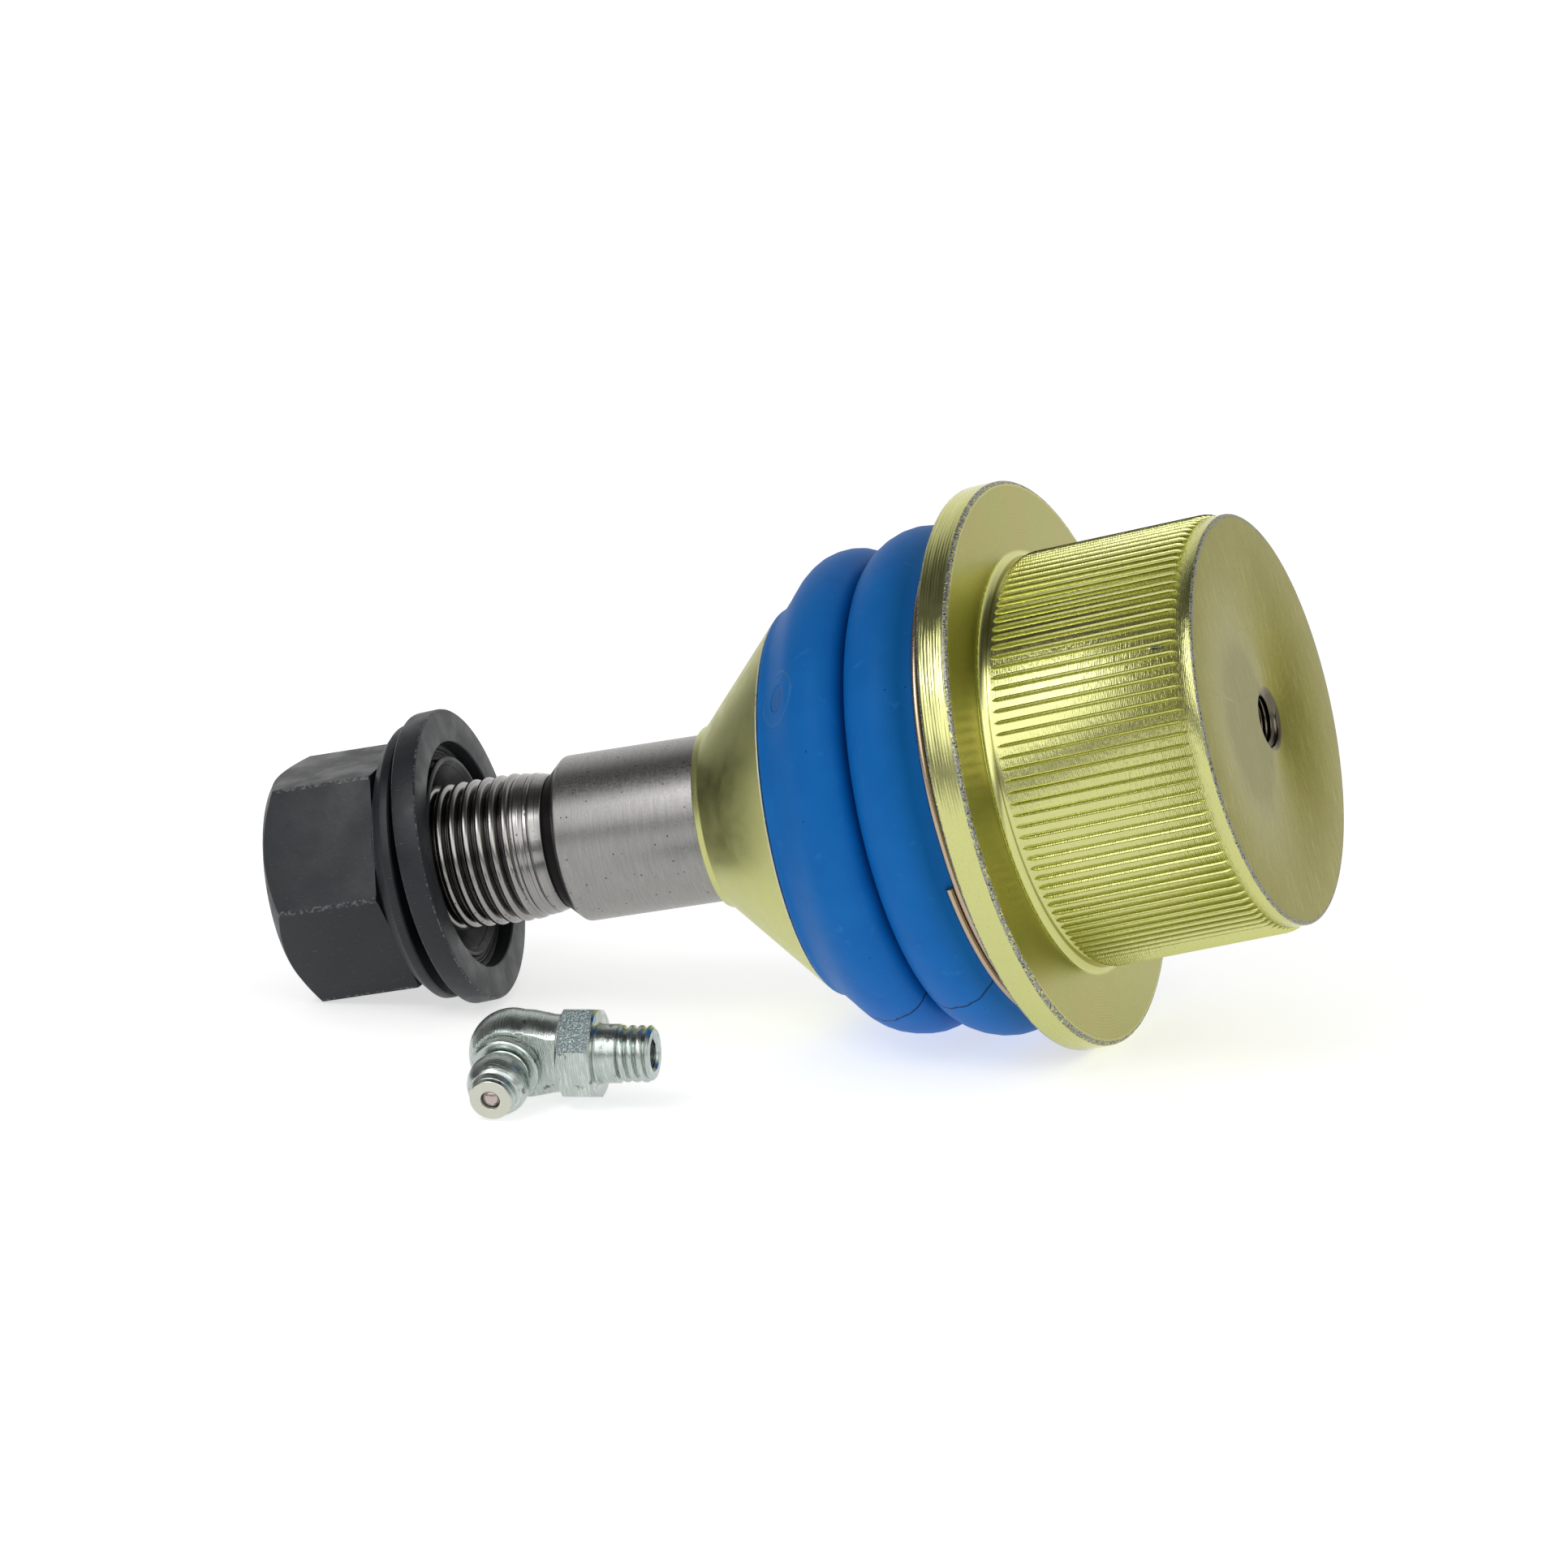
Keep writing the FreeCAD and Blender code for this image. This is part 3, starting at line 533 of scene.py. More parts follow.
def black_phosphate(name, where, nut):
    """Grey black phosphate with a fine grain, rubbed lighter on the edges, with painted shade in its recesses."""
    paint = Paint(name, where)
    grain = paint.noise(8.0, detail=4.0)
    cloud = paint.noise(0.35, detail=4.0)
    tone = paint.mix(cloud, *shades("phosphate"))
    tone = paint.mix(paint.fade(grain, 0.6, 0.74, 0.0, 0.7), tone, (0.036, 0.038, 0.041, 1))
    scratches = paint.fade(paint.noise(1.0, (1.2, 9.0, 9.0), 2.0), 0.68, 0.76)
    tone = paint.mix(scratches, tone, (0.07, 0.072, 0.078, 1))
    if nut:
        edge = paint.math("MULTIPLY", paint.fade(paint.radius, 13.6, 13.7),
                          paint.fade(paint.x, 66.9, 67.2))
        mouth = paint.band(paint.x, 79.5, 80.0, 0.1)
        inside = paint.math("MULTIPLY", paint.fade(paint.x, 65.0, 66.0, 1.0, 0.0),
                            paint.fade(paint.radius, 11.3, 11.6, 1.0, 0.0))
    else:
        edge = paint.math("MULTIPLY", paint.fade(paint.radius, 15.7, 15.85),
                          paint.fade(paint.x, 60.35, 60.5, 1.0, 0.0))
        mouth = paint.math("MULTIPLY", paint.fade(paint.radius, 15.75, 15.9),
                           paint.fade(paint.x, 62.65, 62.8))
        inside = paint.math("MULTIPLY", paint.fade(paint.radius, 12.25, 12.4, 1.0, 0.0),
                            paint.fade(paint.x, 62.7, 62.9, 1.0, 0.0))
    worn = paint.math("ADD", paint.math("MAXIMUM", edge, mouth), paint.noise(2.4, detail=5.0))
    tone = paint.mix(paint.fade(worn, 1.46, 1.62), tone, (0.10, 0.10, 0.105, 1))
    # Painted shade: the recess round the nut's spigot and the washer's recess over its web are painted nearly
    # black.
    dark = paint.mix(inside, tone, (0.005, 0.006, 0.007, 1))
    paint.bump(grain, 0.008)
    paint.bump(paint.noise(1.4, detail=3.0), 0.02)
    return paint.finish(dark, 0.1, paint.fade(cloud, 0.3, 0.7, 0.36, 0.5),
                        Specular_IOR_Level=0.38)


def blue_rubber(where, mark):
    """Matt blue moulded rubber, a little scuffed, with painted shade along its parting lines and painted light and
    shade on its round mark.
    """
    paint = Paint("blue rubber", where)
    cloud = paint.noise(0.25, detail=4.0)
    tone = paint.mix(cloud, *shades("rubber"))
    scuff = paint.fade(paint.noise(1.0, (0.5, 1.3, 0.6), 5.0), 0.62, 0.74, 0.0, 0.35)
    tone = paint.mix(scuff, tone, (0.025, 0.20, 0.52, 1))
    turn = paint.math("ARCTAN2", paint.math("MULTIPLY", paint.y, -1.0), paint.z)
    turn = paint.math("ADD", turn, paint.math("MULTIPLY", paint.x, math.radians(0.7)))
    turn = paint.math("ADD", turn, paint.fade(paint.noise(0.35), 0.3, 0.7, -0.012, 0.012))
    # The mould's parting lines: a shallow groove, with painted shade along it.
    for place in (135, -45):
        off = paint.math("ABSOLUTE", paint.math("SUBTRACT", turn, math.radians(place)))
        parting_line_and_shade = paint.fade(paint.math("MULTIPLY", off, 25.0), 0.08, 0.2, 1.0, 0.0)
        tone = paint.mix(paint.math("MULTIPLY", parting_line_and_shade, 0.85), tone, (0.001, 0.02, 0.09, 1))
        paint.bump(parting_line_and_shade, -0.12)
    knob = paint.distance(mark)
    paint.bump(paint.fade(knob, 2.8, 3.2, 1.0, 0.0), 0.25)
    paint.bump(paint.fade(knob, 1.3, 1.6, 1.0, 0.0), -0.15)
    # Painted shade in the mark's inner hollow.
    tone = paint.mix(paint.fade(knob, 1.3, 1.7, 0.45, 0.0), tone, (0.004, 0.085, 0.28, 1))
    # Painted highlight round the edge of the mark's raised disc.
    edge = paint.math("MULTIPLY", paint.band(knob, 2.85, 3.1, 0.12), 0.45)
    tone = paint.mix(edge, tone, (0.07, 0.26, 0.55, 1))
    specks = paint.spots(0.55, 0.035, 0.03)
    tone = paint.mix(specks, tone, (0.002, 0.01, 0.03, 1))
    paint.bump(paint.noise(3.0, detail=4.0), 0.012)
    return paint.finish(tone, 0.0, 0.5, Specular_IOR_Level=0.12)


def bright_zinc(name, where, stretch, bar=None):
    """Silver zinc plating with fine turned streaks. A bar's upper facets, between two places, are rougher and
    carry painted light and shade: a speckled tone chosen by how far each faces up."""
    paint = Paint(name, where)
    streaks = paint.noise(1.0, stretch, 3.0)
    cloud = paint.noise(0.6, detail=3.0)
    tone = paint.mix(cloud, *shades("silver"))
    tone = paint.mix(paint.fade(streaks, 0.52, 0.62), tone, (0.56, 0.60, 0.56, 1))
    grime = paint.fade(paint.noise(1.1, detail=4.0), 0.62, 0.72)
    tone = paint.mix(grime, tone, (0.16, 0.17, 0.15, 1))
    rough = paint.fade(cloud, 0.3, 0.7, 0.17, 0.3)
    paint.bump(streaks, 0.05)
    paint.bump(paint.noise(4.0, detail=3.0), 0.012)
    if not bar:
        tip = paint.fade(paint.x, 9.75, 9.85)
        tone = paint.mix(tip, tone, (0.54, 0.55, 0.47, 1))
    else:
        # Painted light and shade: facets that face up get their own speckled tone.
        upright = paint.add("SeparateXYZ", {"Vector": paint.facing}).outputs[2]
        upper = paint.math("MULTIPLY", paint.fade(upright, 0.15, 0.3), paint.math(
            "MULTIPLY", paint.band(paint.x, *bar, 0.05), paint.fade(paint.radius, 4.35, 4.45)))
        speckle = paint.fade(paint.noise(5.0, detail=4.0), 0.35, 0.65)
        tone = paint.mix(upper, tone, paint.mix(speckle, (0.18, 0.235, 0.24, 1),
                                                (0.50, 0.57, 0.57, 1)))
        rough = paint.mix(upper, rough, 0.5)
        paint.bump(paint.math("MULTIPLY", speckle, upper), 0.05)
    return paint.finish(tone, 1.0, rough)


def plain_steel(name, where, colour, rough):
    """Oiled or sintered steel with a fine grain, for the wire and the pieces inside."""
    paint = Paint(name, where)
    grain = paint.noise(5.0, detail=3.0)
    light = tuple(min(1.0, 1.25 * c) for c in colour[:3]) + (1,)
    tone = paint.mix(grain, colour, light)
    paint.bump(grain, 0.004)
    return paint.finish(tone, 1.0, paint.fade(grain, 0.3, 0.7, rough - 0.06, rough + 0.06))


# The pieces, each with its sizes and the operator that models it

class StudSizes(bpy.types.PropertyGroup):
    ball: length_mm("Ball", "Radius of the ball", 15.0)
    flat: length_mm("Flat", "Radius of the flat at the ball's end", 6.5)
    neck: length_mm("Neck", "Radius of the neck", 7.0)
    shank: length_mm("Shank", "Radius of the shank", 9.0)
    thread: length_mm("Thread", "Radius of the thread's crests", 8.0)
    pitch: length_mm("Pitch", "Pitch of the thread", 1.5)
    depth: length_mm("Depth", "Depth of the thread", 0.92)
    threaded: length_mm("Threaded length", "Length of the threaded end", 28.2)
    length: length_mm("Length", "From the ball's centre to the end", 78.98)


class JOINT_OT_stud(bpy.types.Operator):
    """Model the ball stud with its shoulder, undercut and rolled thread"""
    bl_idname = "joint.stud"
    bl_label = "Ball stud"

    def execute(self, context):
        s = measures(context.scene.stud_sizes)
        end = s.length
        start = end - s.threaded
        back = -math.sqrt(s.ball ** 2 - s.flat ** 2)
        body = turned("stud", [(back, 0), (back, s.flat)]
            + arc((0, 0), s.ball, 154, math.degrees(math.asin(s.neck / s.ball)), 40)
            + [(13.7, s.neck - 0.2), (14.5, s.neck - 0.25), (15.3, s.neck - 0.15),
               (15.77, s.neck), (19.47, s.shank)]
            + [(47.5, s.shank), (47.7, s.shank - 0.05), (47.9, s.shank - 0.2), (49.3, 7.5),
               (49.5, 7.3), (49.7, 7.15), (start - 0.5, 7.1),
               (start + 1.5, 6.9), (end - 1.0, 6.9), (end - 1.0, 0)])
        envelope = turned("envelope", [
            (start + 0.2, 0), (start + 0.2, 7.3), (start + 1.5, s.thread - 0.28),
            (start + 3.1, s.thread + 0.05),
            (end - 0.9, s.thread + 0.05), (end, s.thread - 0.9), (end, 0)])
        screw = thread("thread", s.thread, s.depth, s.pitch, start - 0.6, end + 0.2)
        combine(screw, envelope, "INTERSECT")
        combine(body, screw, "UNION")
        runout = thread("runout", s.thread - 0.3, 0.3, s.pitch / 2, start - 1.1, start + 2.9)
        combine(runout, turned("envelope", [
            (start - 1.1, 0), (start - 1.1, 7.25), (start + 0.2, s.thread - 0.42),
            (start + 1.2, s.thread - 0.25), (start + 2.8, s.thread - 0.25), (start + 2.8, 0)]),
            "INTERSECT")
        combine(body, runout, "UNION")
        settle(body, STUD, "stud", ["ball_stud"], ground_steel(STUD), 28.0)
        return {"FINISHED"}


class NutSizes(bpy.types.PropertyGroup):
    flats: length_mm("Flats", "Width over the flats", 24.0)
    turn: angle_degrees("Turn", "First corner from straight up", -27.0)
    start: length_mm("Start", "Where the hexagon starts", 66.98)
    end: length_mm("End", "Where the hexagon ends", 79.78)
    collar: length_mm("Collar", "Radius of the collar", 14.956)
    spigot: length_mm("Spigot", "Radius of the spigot", 10.0)
    fit: length_mm("Fit", "Gap between the two threads", 0.06)


class JOINT_OT_nut(bpy.types.Operator):
    """Model the long flange nut with its chamfers, collar, spigot and threaded bore"""
    bl_idname = "joint.nut"
    bl_label = "Flange nut"

    def execute(self, context):
        s = measures(context.scene.nut_sizes)
        stud = measures(context.scene.stud_sizes)
        reach = s.flats / math.sqrt(3)
        nut = hexagonal("nut", s.flats, s.start, s.end, s.turn)
        ends = turned("ends", [
            (s.start, 0), (s.start, reach - 0.3), (s.start + 0.2, reach + 0.2),
            (s.end - 1.75, reach + 0.2), (s.end - 1.6, reach - 0.05),
            (s.end, 0.97 * s.flats / 2), (s.end, 0)])
        combine(nut, ends, "INTERSECT")
        soften(nut, 0.22)
        face = s.start - 2.9
        tail = turned("tail", rounded([
            (face - 3.0, 0), (face - 3.0, s.spigot + 1.0, 0.3), (face - 2.5, s.spigot + 1.0, 0.2),
            (face - 2.5, s.spigot), (face, s.spigot, 0.2), (face, s.collar, 0.35),
            (face + 1.1, s.collar, 0.4), (face + 2.2, reach, 0.3), (face + 2.5, s.flats / 2 + 0.4),
            (s.start, s.flats / 2 + 0.4), (s.start + 0.4, s.flats / 2 - 0.4),
            (s.start + 0.5, 0)]))
        combine(nut, tail, "UNION")
        bore = thread("bore", stud.thread + s.fit, stud.depth - 0.1, stud.pitch,
                      stud.length - stud.threaded - 0.6, s.end + 2.7)
        mouths = turned("mouths", [
            (face - 5, 0), (face - 5, 11.0), (face - 3.01, 10.5), (face - 2.0, 9.6),
            (face + 1.2, stud.thread - 0.8),
            (s.end - 0.9, stud.thread - 0.8), (s.end + 2, stud.thread + 2.1), (s.end + 2, 0)])
        combine(bore, mouths, "UNION")
        combine(nut, bore, "DIFFERENCE")
        settle(nut, STUD, "nut", ["flange_nut"],
               black_phosphate("nut phosphate", STUD, True), 30.0)
        return {"FINISHED"}


class WasherSizes(bpy.types.PropertyGroup):
    place: length_mm("Place", "Where the washer starts", 60.18)
    thick: length_mm("Thickness", "Length of the rim", 2.8)
    rim: length_mm("Rim", "Outer radius", 16.0)
    recess: length_mm("Recess", "Radius of the recess", 12.35)
    bore: length_mm("Bore", "Radius of the bore", 10.65)
    web: length_mm("Web", "Thickness of the web", 1.0)
    lean: angle_degrees("Lean", "Lean on the nut", 2.9)


class JOINT_OT_washer(bpy.types.Operator):
    """Model the captive washer with its deep rim and turned web"""
    bl_idname = "joint.washer"
    bl_label = "Captive washer"

    def execute(self, context):
        s = measures(context.scene.washer_sizes)
        back = s.place + s.thick
        web = back - s.web
        grooves = []
        for k in range(3):
            at = s.bore + 0.35 + 0.42 * k
            grooves += [(web, at), (web + 0.06, at + 0.1), (web + 0.06, at + 0.2), (web, at + 0.3)]
        washer = turned("washer", rounded([
            (s.place, s.recess + 0.05, 0.25), (s.place, s.rim, 0.35), (back, s.rim, 0.4),
            (back, s.bore, 0.15), (web, s.bore, 0.12)] + grooves + [(web, s.recess, 0.25)]),
            160, loop=True)
        lean = Matrix.Translation((back * MM, 0, 0)) @ Matrix.Rotation(
            s.lean, 4, "Y") @ Matrix.Translation((-back * MM, 0, 0))
        settle(washer, STUD @ lean, "washer", ["captive_washer"],
               black_phosphate("washer phosphate", STUD @ lean, False), 30.0)
        return {"FINISHED"}


class BootSizes(bpy.types.PropertyGroup):
    near_fold: length_mm("Near fold", "Radius of the fold by the housing", 27.5)
    far_fold: length_mm("Far fold", "Radius of the fold by the cup", 26.15)
    lip: length_mm("Lip", "Radius of the lip round the cup's rim", 20.9)
    rise: length_mm("Rise", "How far the far fold sits up", 0.15)


# The folds' outer outlines: places along the boot, and heights above the fold's radius
NEAR_FOLD = [(0.0, -1.75), (-0.7, -1.05), (-1.5, -0.5), (-2.5, -0.12), (-3.5, 0.0), (-4.7, -0.14),
             (-5.9, -0.52), (-7.0, -1.1), (-7.9, -1.85), (-8.4, -2.65), (-8.6, -3.5), (-8.67, -4.3)]
FAR_FOLD = [(-8.93, -3.0), (-9.05, -1.95), (-9.4, -1.05), (-10.2, -0.38), (-11.2, -0.06),
            (-12.2, 0.0), (-13.4, -0.14), (-14.6, -0.48), (-15.6, -1.0), (-16.5, -1.68),
            (-17.4, -2.62), (-18.3, -3.62), (-19.1, -4.45), (-19.6, -4.9)]

# The round mark moulded on the boot, from the ball's centre in the housing's own frame
MARK = (-15.2, -19.6, 15.6)

# Places along the boot: where its bend starts and ends, and the far fold's middle and reach
BEND_START, BEND_END = -1.0, -18.58
FOLD_MIDDLE, FOLD_REACH = -12.6, 6.5


class JOINT_OT_boot(bpy.types.Operator):
    """Model the rubber boot with its folds, bead and neck, bent from the housing to the stud"""
    bl_idname = "joint.boot"
    bl_label = "Boot"

    def execute(self, context):
        s = measures(context.scene.boot_sizes)
        outer = [(2.7, 25.2), (2.5, 25.55), (1.6, 25.6)]
        outer += [(x, s.near_fold + r) for x, r in NEAR_FOLD] + [(-8.8, 22.6)]
        outer += [(x, s.far_fold + r) for x, r in FAR_FOLD]
        outer += [(-20.0, s.lip + 0.1), (-20.38, s.lip), (-20.6, s.lip - 0.14),
                  (-20.69, s.lip - 0.42)]
        outer += [(-20.68, 19.0), (-27.88, 10.9), (-27.88, 9.3)]
        inner = [(2.7, 24.3), (-0.65, 24.3)]
        inner += arc((-3.6, 23.3), 2.5, 35, 186, 8)
        inner += [(-7.4, 21.2), (-8.45, 21.2)]
        inner += arc((-12.5, 21.9), 2.5, 10, 200, 8)
        inner += [(-18.6, 17.9), (-19.0, 9.3)]
        boot = turned("boot", outer + inner[::-1], 160, loop=True)
        select_only(boot)
        bend(boot, sorted({round(x, 6) for x, r in outer + inner}), s.rise)
        settle(boot, TILT, None, ["boot"], blue_rubber(HOUSING, MARK), 50.0)
        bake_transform(boot)
        return {"FINISHED"}


def bend_share(place):
    """How far the boot's middle line has turned from the housing's axis to the stud's."""
    share = min(max((place - BEND_START) / (BEND_END - BEND_START), 0.0), 1.0)
    return share * share * (3 - 2 * share)


def bend(piece, places, rise):
    """Turns each ring of a piece about the ball's centre, which lies at the origin with the tilt
    axis along Z, by its share of the tilt."""
    up = TILT.to_3x3().inverted() @ HOUSING.col[2].to_3d()
    bpy.context.tool_settings.mesh_select_mode = (True, False, False)
    rings_at = {place: [v.index for v in piece.data.vertices if abs(v.co.x / MM - place) < 0.0004]
                for place in places}
    for place, members in rings_at.items():
        if bend_share(place) == 0.0 or not members:
            continue
        bpy.ops.object.mode_set(mode="EDIT")
        bpy.ops.mesh.select_all(action="DESELECT")
        bpy.ops.object.mode_set(mode="OBJECT")
        for member in members:
            piece.data.vertices[member].select = True
        bpy.ops.object.mode_set(mode="EDIT")
        bpy.ops.transform.rotate(value=bend_share(place) * REST_TILT, orient_axis="Z",
                                 center_override=(0, 0, 0))
        off = min(abs(place - FOLD_MIDDLE) / FOLD_REACH, 1.0)
        swell = math.cos(off * math.pi / 2) ** 2
        bpy.ops.transform.translate(value=up * rise * swell * MM)
        bpy.ops.object.mode_set(mode="OBJECT")


class ClipSizes(bpy.types.PropertyGroup):
    wire: length_mm("Wire", "Diameter of the wire", 0.85)
    radius: length_mm("Radius", "Radius of the ring's wire", 26.14)
    pitch: length_mm("Pitch", "Travel of the wire in one turn", 0.9)
    turns: FloatProperty(name="Turns", description="Number of turns", default=1.83)
    start: angle_degrees("Start", "Where the wire starts, from straight up", 105.0)
    last: length_mm("Last", "Where the wire's last turn ends", 1.98)


class JOINT_OT_clip(bpy.types.Operator):
    """Model the wire ring that holds the boot's bead, nearly two turns with cut ends"""
    bl_idname = "joint.clip"
    bl_label = "Boot clip ring"

    def execute(self, context):
        s = measures(context.scene.clip_sizes)
        wire = wire_coil("clip", s.wire, s.radius, s.turns, s.pitch * s.turns, 16, 260)
        start = s.last - s.turns * s.pitch
        turn = Matrix.Translation((start * MM, 0, 0)) @ Matrix.Rotation(s.start, 4, "X")
        settle(wire, HOUSING @ turn, "boot_base", ["boot_clip_ring"],
               plain_steel("clip wire", HOUSING, (0.42, 0.33, 0.25, 1), 0.25), 40.0)
        return {"FINISHED"}


class CupSizes(bpy.types.PropertyGroup):
    rim: length_mm("Rim", "Where the rim lies", 20.88)
    rim_radius: length_mm("Rim radius", "Outer radius of the rim", 20.5)
    hub: length_mm("Hub", "Outer radius of the hub", 10.0)
    length: length_mm("Length", "From the rim to the hub's end", 10.9)
    wall: length_mm("Wall", "Thickness of the rim", 1.3)
    bore: length_mm("Bore", "Radius of the bore round the shank", 9.04)


class JOINT_OT_cup(bpy.types.Operator):
    """Model the coned neck cup with its rounded hub and rim"""
    bl_idname = "joint.cup"
    bl_label = "Neck cup"

    def execute(self, context):
        s = measures(context.scene.cup_sizes)
        end = s.rim + s.length
        cup = turned("cup", rounded([
            (s.rim, s.rim_radius, 0.07), (s.rim, s.rim_radius - s.wall, 0.18),
            (end - 2.6, s.hub + 0.45, 0.3), (end - 2.6, s.bore, 0.2), (end, s.bore, 0.15),
            (end, s.hub - 0.25, 0.2), (end - 0.8, s.hub, 0.6)]), 160, loop=True)
        settle(cup, STUD, "neck", ["neck_cup"], cup_zinc(STUD), 40.0)
        return {"FINISHED"}


class HousingSizes(bpy.types.PropertyGroup):
    flange: length_mm("Flange", "Radius of the flange", 30.4)
    seat: length_mm("Seat", "Where the flange's far face lies", 6.5)
    barrel: length_mm("Barrel", "Radius of the smooth barrel", 21.95)
    end: length_mm("End", "Where the closed end lies", 30.2)
    ridges: IntProperty(name="Ridges", description="Number of ridges in the knurl", default=112)
    ridge_start: length_mm("Ridge start", "Where the ridges start", 7.8)
    ridge_end: length_mm("Ridge end", "Where the ridges end", 28.45)
    ridge_taper: length_mm("Ridge taper", "Length over which a ridge runs out", 0.9)
    ridge_width: length_mm("Ridge width", "Width of one ridge", 0.44)
    ridge_height: length_mm("Ridge height", "Height of one ridge", 0.45)
    port: length_mm("Port", "Radius of the port's thread", 3.04)


class JOINT_OT_housing(bpy.types.Operator):
    """Model the housing with its nose, flange, knurled barrel and threaded port"""
    bl_idname = "joint.housing"
    bl_label = "Housing"

    def execute(self, context):
        s = measures(context.scene.housing_sizes)
        valley = s.barrel - 0.05
        housing = turned("housing", rounded([
            (-10.68, 17.0), (-10.68, 19.9, 0.35), (-1.6, 19.9, 0.2), (-1.6, 24.0, 0.3),
            (3.0, 24.0, 0.3), (3.0, s.flange, 0.35), (s.seat, s.flange, 0.4),
            (s.seat, s.barrel, 0.85), (s.ridge_start - 0.05, s.barrel),
            (s.ridge_start, valley), (s.ridge_end, valley), (s.ridge_end + 0.05, s.barrel),
            (s.end, s.barrel, 0.35), (s.end, 1.3),
            (18.6, 1.3), (18.6, 18.5, 0.4), (-9.93, 18.5), (-9.93, 17.0)], 6), 256, loop=True)
        port = thread("port", s.port, 0.5, 1.0, 21.7, s.end + 0.6, 48)
        mouth = turned("mouth", [(20.0, 0), (20.0, 1.3), (21.9, 2.9), (21.9, 0)], 48)
        bevel = turned("bevel", [(s.end - 0.35, 0), (s.end - 0.35, s.port - 0.1),
                                 (s.end + 0.4, s.port + 0.65), (s.end + 0.4, 0)], 48)
        combine(port, mouth, "UNION")
        combine(port, bevel, "UNION")
        combine(housing, port, "DIFFERENCE")
        add_ridges(housing, s, valley)
        settle(housing, HOUSING, "housing_unit", ["housing"],
               housing_zinc(HOUSING), 46.0)
        return {"FINISHED"}


def add_ridges(housing, s, valley):
    """One ridge of the knurl, narrowed to a point at both ends, and its copies round the barrel."""
    start, end, taper = s.ridge_start, s.ridge_end, s.ridge_taper
    bpy.ops.object.select_all(action="DESELECT")
    bpy.ops.mesh.primitive_cylinder_add(
        vertices=8, radius=1.0, depth=end - start - 2 * taper, rotation=(0, math.pi / 2, 0))
    ridge = context_piece("ridge")
    bpy.ops.object.transform_apply(location=True, rotation=True, scale=True)
    bpy.context.tool_settings.mesh_select_mode = (False, False, True)
    for side in (-1, 1):
        bpy.ops.object.mode_set(mode="EDIT")
        bpy.ops.mesh.select_all(action="DESELECT")
        bpy.ops.object.mode_set(mode="OBJECT")
        for face in ridge.data.polygons:
            face.select = face.normal.x * side > 0.9
        bpy.ops.object.mode_set(mode="EDIT")
        for step, size in ((0.5, 0.8), (0.5, 0.1)):
            bpy.ops.mesh.extrude_region_move(
                TRANSFORM_OT_translate={"value": (side * taper * step, 0, 0)})
            bpy.ops.transform.resize(value=(1, size, size), center_override=(0, 0, 0))
    bpy.ops.mesh.select_all(action="SELECT")
    bpy.ops.transform.resize(value=(MM, s.ridge_width / 2 * MM, s.ridge_height * MM),
                             center_override=(0, 0, 0))
    bpy.ops.transform.translate(value=((start + end) / 2 * MM, 0, valley * MM))
    bpy.ops.object.mode_set(mode="OBJECT")
    select_only(ridge)
    copies = [ridge]
    for k in range(1, s.ridges):
        select_only(ridge)
        bpy.ops.object.duplicate(linked=False)
        copy = bpy.context.object
        copy.matrix_world = Matrix.Rotation(2 * math.pi * k / s.ridges, 4, "X")
        copies.append(copy)
    select_only(housing)
    for copy in copies:
        copy.select_set(True)
    bpy.ops.object.join()


class FittingSizes(bpy.types.PropertyGroup):
    elbow: length_mm("Elbow", "Radius of the elbow", 4.7)
    tube: length_mm("Tube", "Radius of the tube at the hexagon", 4.05)
    flats: length_mm("Flats", "Width over the flats", 9.0)
    bar_start: length_mm("Hexagon start", "Where the hexagon starts", 5.6)
    bar_end: length_mm("Hexagon end", "Where the hexagon ends", 9.3)
    thread: length_mm("Thread", "Radius of the thread's crests", 2.97)
    end: length_mm("End", "Where the threaded end lies", 15.1)
    bore: length_mm("Bore", "Radius of the passage", 1.55)


